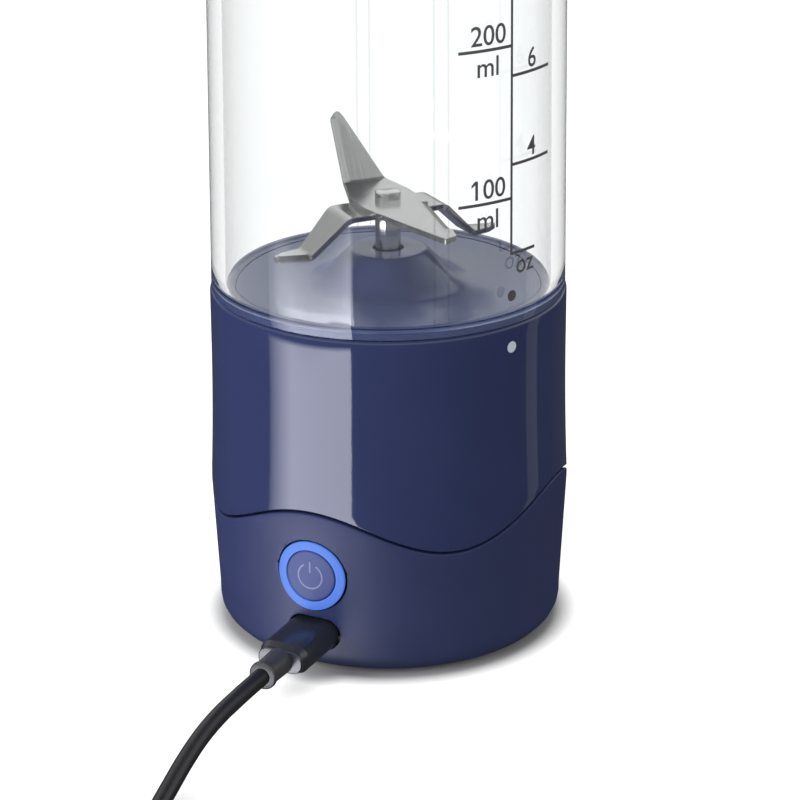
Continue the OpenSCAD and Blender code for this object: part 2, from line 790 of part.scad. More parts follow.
module board_parts() {
    top = main_board_z + board_t + 0.05;
    color(dark_plastic) {
        translate([-4, -22, top]) cube([6, 6, 1.2]);
        translate([8, -19, top]) cube([4.5, 4.5, 1]);
        translate([-14, -21, top]) cube([6, 6, 3.2]);
        for (k = [0:4]) translate([-9 + 4 * k, -25.4, top]) cube([2, 1.2, 0.8]);
        translate([16, -15, 0]) rod(3, top, top + 7);
    }
}

module usb_socket() {
    color("silver") {
        difference() {
            front_bar(usb_w, usb_t, port_z, socket_y - usb_len, socket_y);
            front_bar(usb_w - 2 * usb_wall, usb_t - 2 * usb_wall, port_z,
                      socket_y - usb_len + 1.2, socket_y + over);
        }
        // Contact tongue
        translate([-3.3, -socket_y + 0.9, port_z - 0.35]) cube([6.6, usb_len - 1.5, 0.7]);
    }
}

module button_board() {
    color(board_green) translate([-12, -button_board_y + seat_gap, port_z + usb_t / 2 + 0.5])
        cube([24, board_t, button_z + 9 - port_z - usb_t / 2]);
}

module switch_body() {
    color(dark_plastic) difference() {
        translate([-3, -switch_y, button_z - 3]) cube([6, switch_y - button_board_y, 6]);
        front_rod(1.8, button_z, switch_y - button_travel - 1.5, switch_y + over);
    }
}

module switch_plunger() {
    color("gold") front_rod(1.7, button_z, switch_y - 1, plunger_y);
}

module ring_lights() {
    color("white") for (a = [0:60:300])
        translate([(ring_in_r + ring_out_r) / 2 * cos(a) - 0.9, -button_board_y - 1.2,
                   button_z + (ring_in_r + ring_out_r) / 2 * sin(a) - 0.6])
            cube([1.8, 1.2, 1.2]);
}

module light_ring() {
    color("dodgerblue") intersection() {
        union() {
            front_pipe(ring_in_r, ring_out_r, button_z, button_board_y + 1.8, belly_r + 2);
            front_pipe(ring_in_r, ring_out_r + 1.3, button_z, button_board_y + 3.6, button_board_y + 5.4);
        }
        rod(button_face_r, 0, base_h);
    }
}

module power_button() {
    shell = 0.95;
    color(navy_satin) {
        intersection() {
            front_rod(button_r, button_z, cap_back_y + 3.4, belly_r + 2);
            rod(button_face_r, 0, base_h);
        }
        front_pipe(button_r - shell, button_r, button_z, cap_back_y, cap_back_y + 3.5);
        front_rod(1.7, button_z, cap_back_y, cap_back_y + 3.5);
    }
}

module lock_sensor() {
    color(board_green) place(neck_in_r - 0.9, magnet_angle) {
        translate([-2.5, -4, plate_z - 1.1]) cube([4, 8, 1]);
        translate([-1.5, -1.5, plate_z - 2.3]) cube([2, 3, 1.2]);
    }
}

// ---------- vessel ----------

module neck_gasket() {
    color("gainsboro") pipe(neck_in_r + 0.15, neck_r - 0.1, slot_z + seat_gap, slot_z + 1.5);
}

module vessel() {
    foot_z = slot_z + 1.6;
    shoulder_r = vessel_top_r;
    outline = [
        [neck_in_r, foot_z], [neck_r, foot_z], [neck_r, vessel_z - 0.4], [neck_r + 0.7, vessel_z],
        [vessel_r - 0.5, vessel_z], [vessel_r, vessel_z + 0.6], [shoulder_r, shoulder_z - 1.6],
        [shoulder_r - 0.5, shoulder_z], [mouth_r, shoulder_z + 0.2], [mouth_r, mouth_z],
        [mouth_in_r, mouth_z], [mouth_in_r, shoulder_z - 1], [shoulder_r - vessel_wall, shoulder_z - 7],
        [vessel_r - vessel_wall, vessel_z + 5], [neck_in_r, vessel_z + 1]];
    color([0.85, 0.9, 0.95, 0.35]) {
        difference() {
            rotate_extrude() polygon(outline);
            place(neck_in_r + 0.3, magnet_angle) translate([0, -1.6, foot_z - over])
                cube([1.15, 3.2, 1.65 + over]);
        }
        ridges(neck_r, slot_r - move_gap, base_thread_z - flank_shift);
        ridges(mouth_r, lid_in_r - move_gap, lid_thread_z);
        for (a = rib_angles) place(vessel_top_r - vessel_wall - rib_depth, a)
            translate([0, -rib_w / 2, vessel_z + 6])
                cube([rib_depth + vessel_r - vessel_top_r + 0.8, rib_w, vessel_h - mouth_h - 16]);
    }
}

module lock_magnet() {
    color("silver") place(neck_in_r + 0.35, magnet_angle) translate([0, -1.5, slot_z + 1.65])
        cube([1.05, 3, 1.5]);
}

// ---------- lid ----------

module lid_gasket() {
    color("gainsboro") translate([0, 0, mouth_z + seat_gap])
        pipe(mouth_in_r + 0.1, mouth_r - 0.1, 0, lid_gasket_t);
}

module lid() {
    outline = [
        [0, lid_under_z], [lid_in_r, lid_under_z], [lid_in_r, lid_foot_z], [lid_r - 0.3, lid_foot_z],
        [lid_r, lid_foot_z + 0.4], [lid_r, lid_top_z - 3], [lid_r - 0.9, lid_top_z - 0.9],
        [lid_r - 3, lid_top_z], [0, lid_top_z]];
    color(navy_gloss) {
        difference() {
            union() {
                rotate_extrude() polygon(outline);
                translate([0, -spout_y, 0]) rod(spout_r, lid_top_z - 0.5, spout_top_z);
                // Ears for the cap's pin
                for (side = [-1, 1]) translate([side * 6.3 - 1.1, 0, 0]) {
                    translate([0, -hinge_y - hinge_r, lid_top_z - 0.5])
                        cube([2.2, 2 * hinge_r, hinge_z - lid_top_z + 0.5]);
                    cross_rod(hinge_r, 0, 2.2, -hinge_y, hinge_z);
                }
                // Ears for the carry loop's pins
                for (side = [-1, 1]) translate([side * (loop_ear_x - 1.4) - 1.4, 0, 0]) {
                    translate([0, -loop_eye_r, lid_top_z - 0.5])
                        cube([2.8, 2 * loop_eye_r, loop_z - lid_top_z + 0.5]);
                    cross_rod(loop_eye_r, 0, 2.8, 0, loop_z);
                }
            }
            translate([0, -spout_y, 0]) rod(spout_in_r, lid_under_z - over, spout_top_z + over);
            cross_rod(hinge_pin_r + run_gap, -12, 12, -hinge_y, hinge_z);
            for (side = [-1, 1])
                cross_rod(loop_pin_r + run_gap, side * loop_ear_x - 4, side * loop_ear_x + 4, 0, loop_z);
        }
        ridges(lid_in_r, mouth_r + move_gap, lid_thread_z - flank_shift);
    }
}

module loop_pins() {
    loop_side = loop_r + loop_w / 2;
    color("silver") for (side = [0, 1]) mirror([side, 0, 0]) {
        cross_rod(loop_pin_r, loop_ear_x - 2.8, loop_side + 0.4, 0, loop_z);
        cross_rod(loop_pin_r + 0.8, loop_side + 0.3, loop_side + 1, 0, loop_z);
    }
}

module carry_loop() {
    color(navy_gloss) difference() {
        union() {
            intersection() {
                translate([0, 0, loop_z]) rotate_extrude()
                    translate([loop_r, 0]) rounded_shape(loop_w, loop_t, 1.2);
                translate([-loop_r - loop_w, 0, loop_z - loop_t])
                    cube([2 * (loop_r + loop_w), loop_r + loop_w, 2 * loop_t]);
            }
            for (side = [-1, 1])
                cross_rod(loop_eye_r, side * loop_r - loop_w / 2, side * loop_r + loop_w / 2, 0, loop_z);
        }
        cross_rod(loop_pin_r + 0.06, -loop_r - loop_w, loop_r + loop_w, 0, loop_z);
    }
}

module cap_pin() {
    color("silver") cross_rod(hinge_pin_r, -7.3, 7.3, -hinge_y, hinge_z);
}

module flip_cap() {
    under_z = spout_top_z + move_gap;
    color(navy_gloss) difference() {
        union() {
            translate([0, -spout_y, 0]) {
                rod(cap_r, under_z, under_z + cap_t - 0.8);
                translate([0, 0, under_z + cap_t - 0.8]) cylinder(r1 = cap_r, r2 = cap_r - 1.2, h = 0.8);
            }
            // Thumb tab
            translate([-3, -spout_y - cap_r - 1.4, under_z]) cube([6, 4, 1.6]);
            // Hinge knuckle
            cross_rod(hinge_r, -4.8, 4.8, -hinge_y, hinge_z);
            translate([-4.8, -hinge_y - hinge_r, hinge_z]) cube([9.6, hinge_r, under_z + 0.5 - hinge_z]);
        }
        cross_rod(hinge_pin_r + 0.06, -12, 12, -hinge_y, hinge_z);
    }
}

module cap_plug() {
    under_z = spout_top_z + move_gap;
    color("gainsboro") translate([0, -spout_y, 0]) rod(spout_in_r - 0.5, under_z - 2.2, under_z - 0.05);
}

// ---------- charging lead ----------

module usb_plug() {
    color(dark_plastic) translate([0, -plug_y, port_z]) rotate([90, 0, 0])
        linear_extrude(plug_len) slot_shape(plug_w, plug_t);
}

module usb_plug_tip() {
    w = usb_w - 2 * usb_wall - 2 * usb_fit;
    t = usb_t - 2 * usb_wall - 2 * usb_fit;
    color("silver") difference() {
        front_bar(w, t, port_z, plug_y - 6.5, plug_y);
        front_bar(w - 0.7, t - 0.7, port_z, plug_y - 7, plug_y - 0.5);
    }
}

module plug_neck() {
    color("dimgray") translate([0, -plug_y - plug_len, port_z]) rotate([90, 0, 0])
        cylinder(r1 = plug_t / 2 - 0.3, r2 = cord_d / 2 + 0.6, h = plug_neck_len, $fn = 48);
}

// Round tube that follows a row of points
module swept_tube(points, r) {
    n = len(points);
    rings = [for (i = [0:n - 1])
        let (d = points[min(i + 1, n - 1)] - points[max(i - 1, 0)],
             t = d / norm(d),
             u = cross(t, [0, 0, 1]) / norm(cross(t, [0, 0, 1])),
             v = cross(u, t))
        [for (k = [0:cord_sides - 1])
            points[i] + r * (cos(360 * k / cord_sides) * u + sin(360 * k / cord_sides) * v)]];
    skin(rings);
}

module cord() {
    color("black") swept_tube(cord_points, cord_d / 2);
}

module cord_coil() {
    color("black") translate([coil_x, coil_y, 0])
        pipe(coil_in_r, coil_out_r, coil_z, coil_top_z);
}

module cord_tail() {
    color("black") swept_tube(tail_points, cord_d / 2);
}

module far_neck() {
    color("dimgray") translate([far_neck_x, far_axis_y, far_axis_z]) rotate([0, 90, 0])
        cylinder(r1 = cord_d / 2 + 0.6, r2 = far_plug_t / 2 - 0.8, h = far_neck_len, $fn = 48);
}

module far_plug() {
    color(dark_plastic) translate([far_neck_x + far_neck_len, far_axis_y, far_axis_z]) rotate([90, 0, 90])
        linear_extrude(far_plug_len) rounded_shape(far_plug_w, far_plug_t, 1.6);
}

module far_plug_shell() {
    color("silver") translate([far_neck_x + far_neck_len + far_plug_len, far_axis_y, far_axis_z])
        rotate([90, 0, 90]) {
            difference() {
                linear_extrude(far_shell_len) square([12, 4.5], center = true);
                translate([0, 0, 1]) linear_extrude(far_shell_len) square([11.4, 3.9], center = true);
            }
            translate([-5.5, -1.9, 1]) cube([11, 1.8, far_shell_len - 1.5]);
        }
}

module cable_tie() {
    wall = 0.3;
    color("dimgray") translate([coil_x, coil_y, 0]) rotate([0, 0, 235]) intersection() {
        difference() {
            pipe(coil_in_r - seat_gap - wall, coil_out_r + seat_gap + wall, 0, coil_top_z + seat_gap + wall);
            pipe(coil_in_r - seat_gap, coil_out_r + seat_gap, wall, coil_top_z + seat_gap);
        }
        translate([0, -5, 0]) cube([2 * coil_out_r, 10, coil_top_z + 2 * wall]);
    }
}

// ---------- drawing ----------

lower_shell();
upper_shell();
bottom_cover();
foot_ring();
cover_screws();
blade_deck();
chassis();
chassis_screws();
motor_can();
motor_end_cap();
motor_magnets();
motor_screws();
shaft_bush();
shaft_seal();
cell_left();
cell_right();
cell_links();
cell_pads();
main_board();
board_parts();
usb_socket();
button_board();
switch_body();
ring_lights();
light_ring();
lock_sensor();
motor_leads();
armature();
shaft_coupling();
blade_shaft();
lower_blade();
upper_blade();
power_button();
switch_plunger();
neck_gasket();
vessel();
lock_magnet();
lid_gasket();
lid();
loop_pins();
cap_pin();
flip_cap();
cap_plug();
carry_loop();
usb_plug();
usb_plug_tip();
plug_neck();
cord();
cord_coil();
cord_tail();
far_neck();
far_plug();
far_plug_shell();
cable_tie();
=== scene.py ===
import math

import bmesh
import bpy
from mathutils import Matrix, Vector


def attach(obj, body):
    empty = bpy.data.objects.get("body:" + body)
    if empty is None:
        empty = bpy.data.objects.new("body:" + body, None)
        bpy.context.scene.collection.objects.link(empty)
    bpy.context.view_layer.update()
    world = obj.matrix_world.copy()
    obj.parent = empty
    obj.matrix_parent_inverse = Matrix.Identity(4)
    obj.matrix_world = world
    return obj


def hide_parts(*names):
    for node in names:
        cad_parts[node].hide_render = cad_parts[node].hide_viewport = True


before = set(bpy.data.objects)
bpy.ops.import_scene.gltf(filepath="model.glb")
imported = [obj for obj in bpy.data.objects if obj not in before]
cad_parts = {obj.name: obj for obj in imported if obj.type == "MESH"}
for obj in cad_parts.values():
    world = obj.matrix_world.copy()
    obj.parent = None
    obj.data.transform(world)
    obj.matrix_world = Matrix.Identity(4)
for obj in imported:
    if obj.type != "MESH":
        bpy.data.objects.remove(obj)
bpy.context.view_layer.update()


# ---------- Circuit boards and wires ----------
# Glass-fibre boards with a green solder mask, black moulded parts and two red motor wires. The main
# board stands on the bottom cover, the button board in slots of the lower shell.

def effect(name, inputs, outputs):
    """A shader node group with named sockets: the group, what it is given and what it gives."""
    group = bpy.data.node_groups.new(name, "ShaderNodeTree")
    for way, sockets in (("INPUT", inputs), ("OUTPUT", outputs)):
        for label, kind in sockets.items():
            group.interface.new_socket(name=label, in_out=way, socket_type="NodeSocket" + kind)
    return group, group.nodes.new("NodeGroupInput").outputs, group.nodes.new("NodeGroupOutput").inputs


def step(tree, kind, feeds, **settings):
    """Adds a node and returns its outputs; each feed is a plain value or another node's output."""
    made = tree.nodes.new("ShaderNode" + kind)
    for setting, value in settings.items():
        setattr(made, setting, value)
    for socket, feed in feeds.items():
        if isinstance(feed, bpy.types.NodeSocket):
            tree.links.new(feed, made.inputs[socket])
        else:
            made.inputs[socket].default_value = feed
    return made.outputs


# Moulded surface: clouds of a second colour and of haze, and a fine grain left by the mould
moulded, given, gives = effect(
    "moulded surface",
    {"Place": "Vector", "Colour": "Color", "Shade": "Color", "Gloss": "Float", "Haze": "Float",
     "Grain": "Float", "Depth": "Float"},
    {"Colour": "Color", "Roughness": "Float", "Normal": "Vector"})
clouds = step(moulded, "TexNoise", {"Vector": given["Place"], "Scale": 45, "Detail": 4})[0]
cloudy = step(moulded, "MapRange", {0: clouds, 1: 0.35, 2: 0.65})[0]
moulded.links.new(step(moulded, "Mix", {0: cloudy, 6: given["Colour"], 7: given["Shade"]},
                       data_type="RGBA")[2], gives["Colour"])
moulded.links.new(step(moulded, "MapRange", {0: cloudy, 3: given["Gloss"], 4: given["Haze"]})[0],
                  gives["Roughness"])
grains = step(moulded, "TexNoise", {"Vector": given["Place"], "Scale": given["Grain"], "Detail": 2})[0]
moulded.links.new(step(moulded, "Bump", {"Strength": given["Depth"], "Distance": 0.0001,
                                         "Height": grains})[0], gives["Normal"])


def finish(name, surface, colour, shade, gloss, grain, depth, shader=None, follows=None):
    """A material with a surface effect, placed by the object's own coordinates or by an attribute that
    follows its surface. Its colour runs to a shade, and gloss gives its least and most roughness."""
    made = bpy.data.materials.new(name)
    made.use_nodes = True
    principled = made.node_tree.nodes["Principled BSDF"]
    for socket, value in (shader or {}).items():
        principled.inputs[socket].default_value = value
    group = made.node_tree.nodes.new("ShaderNodeGroup")
    group.node_tree = surface
    place = (step(made.node_tree, "Attribute", {}, attribute_name=follows)["Vector"] if follows
             else step(made.node_tree, "TexCoord", {})["Object"])
    made.node_tree.links.new(place, group.inputs["Place"])
    for socket, value in (("Colour", (*colour, 1)), ("Shade", (*shade, 1)), ("Gloss", gloss[0]),
                          ("Haze", gloss[1]), ("Grain", grain), ("Depth", depth)):
        group.inputs[socket].default_value = value
    for output, socket in (("Colour", "Base Color"), ("Roughness", "Roughness"), ("Normal", "Normal")):
        made.node_tree.links.new(group.outputs[output], principled.inputs[socket])
    return made


def coat(material, *nodes):
    """Gives a material to CAD nodes that keep their own shape."""
    for name in nodes:
        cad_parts[name].material_slots[0].material = material


solder_mask = finish("solder mask", moulded, (0.018, 0.12, 0.06), (0.03, 0.17, 0.09), (0.28, 0.42),
                     grain=1500, depth=0.2)
inner_nylon = finish("glass-filled nylon", moulded, (0.035, 0.035, 0.04), (0.05, 0.05, 0.055), (0.45, 0.6),
                     grain=2500, depth=0.5)
wire_jacket = finish("red wire jacket", moulded, (0.42, 0.02, 0.02), (0.5, 0.04, 0.03), (0.35, 0.45),
                     grain=3000, depth=0.1)
lamp_chips = finish("lamp chips", moulded, (0.1, 0.3, 0.95), (0.2, 0.4, 1), (0.2, 0.3), grain=3000,
                    depth=0.1, shader={"Emission Color": (0.1, 0.3, 0.95, 1), "Emission Strength": 0.5})
coat(solder_mask, "main_board", "button_board", "lock_sensor")
coat(inner_nylon, "board_parts", "switch_body")
coat(wire_jacket, "motor_leads")
coat(lamp_chips, "ring_lights")


# ---------- Battery cells ----------
# Two steel cans in green shrink wrap, stood in the chassis cups on soft pads and joined by spot-
# welded nickel straps.
coat(finish("shrink wrap", moulded, (0.04, 0.28, 0.18), (0.06, 0.33, 0.22), (0.18, 0.3), grain=700,
            depth=0.15), "cell_left", "cell_right")

# Ground metal: streaks of a second colour, of haze and of relief, drawn out along the grain
ground, given, gives = effect(
    "ground metal",
    {"Place": "Vector", "Colour": "Color", "Shade": "Color", "Gloss": "Float", "Haze": "Float",
     "Grain": "Vector", "Depth": "Float"},
    {"Colour": "Color", "Roughness": "Float", "Normal": "Vector"})
drawn = step(ground, "Mapping", {"Vector": given["Place"], "Scale": given["Grain"]},
             vector_type="TEXTURE")[0]
streaks = step(ground, "TexNoise", {"Vector": drawn, "Scale": 1, "Detail": 3})[0]
streaky = step(ground, "MapRange", {0: streaks, 1: 0.35, 2: 0.65})[0]
ground.links.new(step(ground, "Mix", {0: streaky, 6: given["Colour"], 7: given["Shade"]},
                      data_type="RGBA")[2], gives["Colour"])
ground.links.new(step(ground, "MapRange", {0: streaky, 3: given["Gloss"], 4: given["Haze"]})[0],
                 gives["Roughness"])
ground.links.new(step(ground, "Bump", {"Strength": given["Depth"], "Distance": 0.00005,
                                       "Height": streaks})[0], gives["Normal"])

nickel = finish("nickel-plated steel", ground, (0.6, 0.59, 0.56), (0.68, 0.67, 0.64), (0.2, 0.32),
                grain=(0.0004, 0.004, 0.0004), depth=0.15, shader={"Metallic": 1})
soft_pad = finish("black rubber", moulded, (0.02, 0.02, 0.022), (0.032, 0.032, 0.034), (0.62, 0.78),
                  grain=2600, depth=0.7)
coat(nickel, "cell_links", "usb_socket")
coat(soft_pad, "cell_pads", "shaft_seal")


# ---------- Motor ----------
# A brushed motor: pressed steel can, ferrite magnets, wound armature on a thin shaft and a nylon end
# cap. Two screws hang it from the chassis plate.
ferrite = finish("lacquered ferrite", moulded, (0.07, 0.07, 0.075), (0.11, 0.11, 0.115), (0.35, 0.5),
                 grain=1800, depth=0.4)
can_steel = finish("drawn steel can", ground, (0.56, 0.56, 0.55), (0.64, 0.64, 0.63), (0.24, 0.36),
                   grain=(0.0003, 0.0003, 0.02), depth=0.2, shader={"Metallic": 1})
copper = finish("copper winding", ground, (0.62, 0.3, 0.14), (0.78, 0.42, 0.22), (0.25, 0.4),
                grain=(0.004, 0.004, 0.0003), depth=0.8, shader={"Metallic": 1})
bearing_bronze = finish("sintered bronze", moulded, (0.5, 0.31, 0.12), (0.62, 0.4, 0.18), (0.35, 0.5),
                        grain=4000, depth=0.5, shader={"Metallic": 1})
screw_steel = finish("zinc-plated steel", ground, (0.5, 0.5, 0.5), (0.6, 0.6, 0.6), (0.22, 0.35),
                     grain=(0.003, 0.003, 0.0002), depth=0.2, shader={"Metallic": 1})
coat(ferrite, "motor_magnets", "lock_magnet")
coat(can_steel, "motor_can")
coat(inner_nylon, "motor_end_cap")
coat(copper, "armature")
coat(screw_steel, "motor_screws")


# ---------- Chassis ----------
# One black nylon moulding with a plate, the motor's sleeve and the cell cups. Four screws fix it under
# the blade deck, and a bronze bush in the deck carries the blade shaft.
coat(inner_nylon, "chassis")
coat(screw_steel, "chassis_screws", "cover_screws")
coat(bearing_bronze, "shaft_bush", "switch_plunger")


# ---------- Blade deck ----------
# A round satin moulding that closes the base under the vessel, with a cone-shaped hub round the shaft.
# Its flange sits under the rim, and the vessel's neck screws into the slot beside its wall.

def traced(corners, closed=True):
    """A line through corners (x, y, z, cut) in millimetres, each corner rounded over its cut."""
    shape = bmesh.new()
    points = [shape.verts.new(Vector(corner[:3]) / 1000) for corner in corners]
    for a, b in zip(points, points[1:] + points[:1] if closed else points[1:]):
        shape.edges.new((a, b))
    for point, corner in zip(points, corners):
        if corner[3]:
            bmesh.ops.bevel(shape, geom=[point], offset=corner[3] / 1000, segments=5, profile=0.5,
                            affect="VERTICES", material=-1)
    return shape


def spun(corners, steps=96, closed=True):
    """Turns an outline of (radius, height, cut) in millimetres about the upright axis."""
    shape = traced([(radius, 0, height, cut) for radius, height, cut in corners], closed)
    bmesh.ops.spin(shape, geom=shape.verts[:] + shape.edges[:], cent=(0, 0, 0), axis=(0, 0, 1),
                   angle=2 * math.pi, steps=steps, use_merge=True)
    bmesh.ops.remove_doubles(shape, verts=shape.verts, dist=1e-6)
    bmesh.ops.recalc_face_normals(shape, faces=shape.faces)
    return shape


def upright_turn(degrees):
    """A turn about the upright axis."""
    return Matrix.Rotation(math.radians(degrees), 4, "Z")


def joined(*shapes):
    """Puts several shapes into the first one."""
    for other in shapes[1:]:
        mesh = bpy.data.meshes.new("part")
        other.to_mesh(mesh)
        other.free()
        shapes[0].from_mesh(mesh)
        bpy.data.meshes.remove(mesh)
    return shapes[0]


def piece(name, shape, material, body, stands_for=(), crease=32):
    """Makes a shape an object that rides on a CAD body and stands for CAD nodes."""
    mesh = bpy.data.meshes.new(name)
    shape.to_mesh(mesh)
    shape.free()
    mesh.materials.append(material)
    mesh.shade_smooth()
    mesh.set_sharp_from_angle(angle=math.radians(crease))
    made = bpy.data.objects.new(name, mesh)
    bpy.context.scene.collection.objects.link(made)
    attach(made, body)
    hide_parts(*stands_for)
    return made


deck_navy = finish("deck navy", moulded, (0.024, 0.036, 0.125), (0.028, 0.041, 0.138), (0.17, 0.22),
                   grain=3000, depth=0.01, shader={"IOR": 1.55, "Specular Tint": (0.75, 0.83, 1, 1),
                   "Sheen Weight": 0.4, "Sheen Roughness": 0.3, "Sheen Tint": (0.4, 0.53, 1, 1)})
deck = spun([
    (3.1, 79.3, 0.2), (7.8, 79.3, 0.5), (14.3, 72.8, 3), (22, 72.5, 0), (29.5, 72.7, 0), (30.8, 72.8, 0.2),
    (30.8, 67.1, 0.2), (30.25, 66.9, 0), (30.25, 61.5, 0), (33.35, 61.5, 0), (33.35, 60, 0), (28.25, 60, 0),
    (28.25, 70.5, 1), (13.2, 70.8, 0), (10.9, 73.5, 0), (8.1, 73.5, 0), (8.1, 68, 0), (6, 68, 0),
    (6, 78.7, 0), (3.1, 78.7, 0)], steps=128)
for angle in (45, 135, 225, 315):
    spot = upright_turn(angle) @ Matrix.Translation((0.024, 0, 0.0635))
    bmesh.ops.create_cone(deck, cap_ends=True, segments=24, radius1=0.0026, radius2=0.0026,
                          depth=0.007, matrix=spot)
piece("blade_deck_moulding", deck, deck_navy, "base", ["blade_deck"])


# ---------- Blade shaft and coupling ----------
# A ground and polished stainless rod in the bush, pressed into a steel coupling on the motor shaft.
# Its end is flattened on two sides to drive the blades and peened over them.

def rounded(shape, offset, segments, sharp, near=lambda edge: True):
    """Rounds the edges that turn by more than an angle in radians and pass a test."""
    bmesh.ops.bevel(shape, geom=[e for e in shape.edges if e.calc_face_angle(0) > sharp and near(e)],
                    offset=offset, segments=segments, profile=0.5, affect="EDGES", material=-1)
    return shape


BLADE_TURN, FLAT = -41, 0.001768     # the tang's turn in degrees, and half the width across its flats
polished = finish("polished stainless", ground, (0.58, 0.58, 0.58), (0.65, 0.65, 0.65), (0.08, 0.12),
                  grain=(0.01, 0.01, 0.0002), depth=0.03, shader={"Metallic": 1})
coat(polished, "shaft_coupling", "cap_pin", "loop_pins")
shaft = spun([(0, 63.85, 0), (2.6, 63.85, 0.3), (2.6, 87, 0), (0, 87, 0)], steps=64, closed=False)
tang = spun([(0, 86.9, 0), (2.6, 86.9, 0), (2.6, 91, 0.35), (0, 91, 0)], steps=64, closed=False)
for side in (0, 180):
    facing = Matrix.Rotation(math.radians(BLADE_TURN + side), 3, "Z") @ Vector((1, 0, 0))
    cut = bmesh.ops.bisect_plane(tang, geom=tang.verts[:] + tang.edges[:] + tang.faces[:],
                                 plane_co=facing * FLAT, plane_no=facing, clear_outer=True)
    bmesh.ops.edgeloop_fill(tang, edges=[e for e in cut["geom_cut"] if isinstance(e, bmesh.types.BMEdge)])
rounded(tang, 0.0002, 3, 0.6, lambda e: e.verts[0].co.z > 0.087)
piece("blade_shaft_rod", joined(shaft, tang), polished, "rotor", ["blade_shaft"])


# ---------- Blades ----------
# Two blades stamped from 1.2 mm stainless sheet, ground along their cutting edges and bent in a press.
# The upper one lies flat with one wing turned up, and the lower one's arms drop towards the deck.

def filled(corners):
    """A flat face whose outline is traced through corners."""
    shape = traced(corners)
    bmesh.ops.edgeloop_fill(shape, edges=shape.edges[:])
    return shape


def pushed(shape, faces, path):
    """Extrudes faces along a path in metres and returns the moved faces."""
    grown = bmesh.ops.extrude_face_region(shape, geom=faces)["geom"]
    bmesh.ops.translate(shape, vec=path, verts=[v for v in grown if isinstance(v, bmesh.types.BMVert)])
    return [f for f in grown if isinstance(f, bmesh.types.BMFace)]


def blank(outline, edges):
    """A flat sheet with an outline in millimetres, ground to a thin edge along some of its sides."""
    thick, land = 0.0012, 0.0004
    shape = filled([(x, y, 0, 0.3) for x, y in outline])
    top = shape.faces[:]
    for rise in (land, thick - land):
        top = pushed(shape, top, (0, 0, rise))
    for k, width in edges:
        a, b = (Vector((*outline[i % len(outline)], 0)) / 1000 for i in (k, k + 1))
        along = (b - a).normalized()
        inward = Vector((-along.y, along.x, 0))
        for vert in top[0].verts:
            reach = vert.co - a
            if abs(reach.dot(inward)) < 0.00013 and -1e-5 < reach.dot(along) < (b - a).length + 1e-5:
                vert.co += inward * width / 1000
    bmesh.ops.recalc_face_normals(shape, faces=shape.faces)
    return rounded(shape, 0.00008, 2, 0.4)


def bent(shape, folds):
    """Folds a blank at (place, degrees up, radius) along its length, from its middle outwards."""
    cuts = []
    for place, degrees, radius in folds:
        side, spread = math.copysign(1, place), abs(math.radians(degrees)) * radius / 1000
        for k in range(8):
            x = place / 1000 + side * spread * (k / 7 - 0.5)
            bmesh.ops.bisect_plane(shape, geom=shape.verts[:] + shape.edges[:] + shape.faces[:],
                                   plane_co=(x, 0, 0), plane_no=(1, 0, 0))
            cuts.append((x, side, math.radians(degrees) / 8))
    follows = shape.verts.layers.float_vector.new("blank")
    for vert in shape.verts:
        vert[follows] = vert.co
    for x, side, angle in cuts:
        line = [v.co for v in shape.verts if abs(v[follows].x - x) < 1e-6]
        bmesh.ops.rotate(shape, cent=sum(line, Vector()) / len(line),
                         verts=[v for v in shape.verts if (v[follows].x - x) * side > 1e-6],
                         matrix=Matrix.Rotation(-side * angle, 3, "Y"))
    return shape


brushed = finish("brushed stainless", ground, (0.47, 0.47, 0.465), (0.55, 0.55, 0.54), (0.17, 0.26),
                 grain=(0.02, 0.0003, 0.0003), depth=0.12, shader={"Metallic": 1}, follows="blank")
upper = bent(blank([
    (-29.5, -2.3), (-28.3, -3.4), (-14, -3.7), (-4, -6.7), (4, -6.7), (28.5, -0.6), (27.2, 2.2),
    (23, 3.4), (4.7, 6.7), (-4.9, 6.7), (-14, 5.36), (-28.2, -0.7), (-29.4, -1.5)],
    [(1, 1.3), (7, 1.5)]), [(-14, 57, 1.2)])
upper.transform(Matrix.Translation((0, 0, 0.0882)) @ upright_turn(BLADE_TURN))
piece("upper_blade_sheet", upper, brushed, "rotor", ["upper_blade"], crease=20)

half = [(10.5, -4.7), (20.8, -2.9), (24.9, -2), (27.4, -0.4), (27, 1.2), (20.8, 2.9), (10.5, 4.7)]
lower = bent(blank(half + [(-x, -y) for x, y in half], [(4, 1.2), (11, 1.2)]),
             [(10.5, -44.2, 2.4), (20.8, 44.2, 2), (-10.5, -44.2, 2.4), (-20.8, 44.2, 2)])
lower.transform(Matrix.Translation((0, 0, 0.087)) @ upright_turn(BLADE_TURN + 93))
piece("lower_blade_sheet", lower, brushed, "rotor", ["lower_blade"], crease=20)


# ---------- Lower shell ----------
# A satin navy moulding, widest a little above the button, with a rounded foot. Its top follows a wave,
# and the button's hole and the charging port are moulded through the front wall.

upright_to_front = Matrix.Rotation(math.pi / 2, 4, "X")
# In millimetres: the wave's crest, the button's hole and its height, and the three screws
CREST, BORE_R, BUTTON_Z = 34.8, 7.6, 21.4
SCREWS = [(28 * math.cos(math.radians(angle)), 28 * math.sin(math.radians(angle)))
          for angle in (90, 215, 325)]


def body_radius(z):
    """Outer radius of the base at a height, both in millimetres."""
    if z < 31:
        return 35.35 + 1.35 * max(0, z - 5) / 26
    return 36 + 0.7 * (max(0, 60 - z) / 29) ** 2


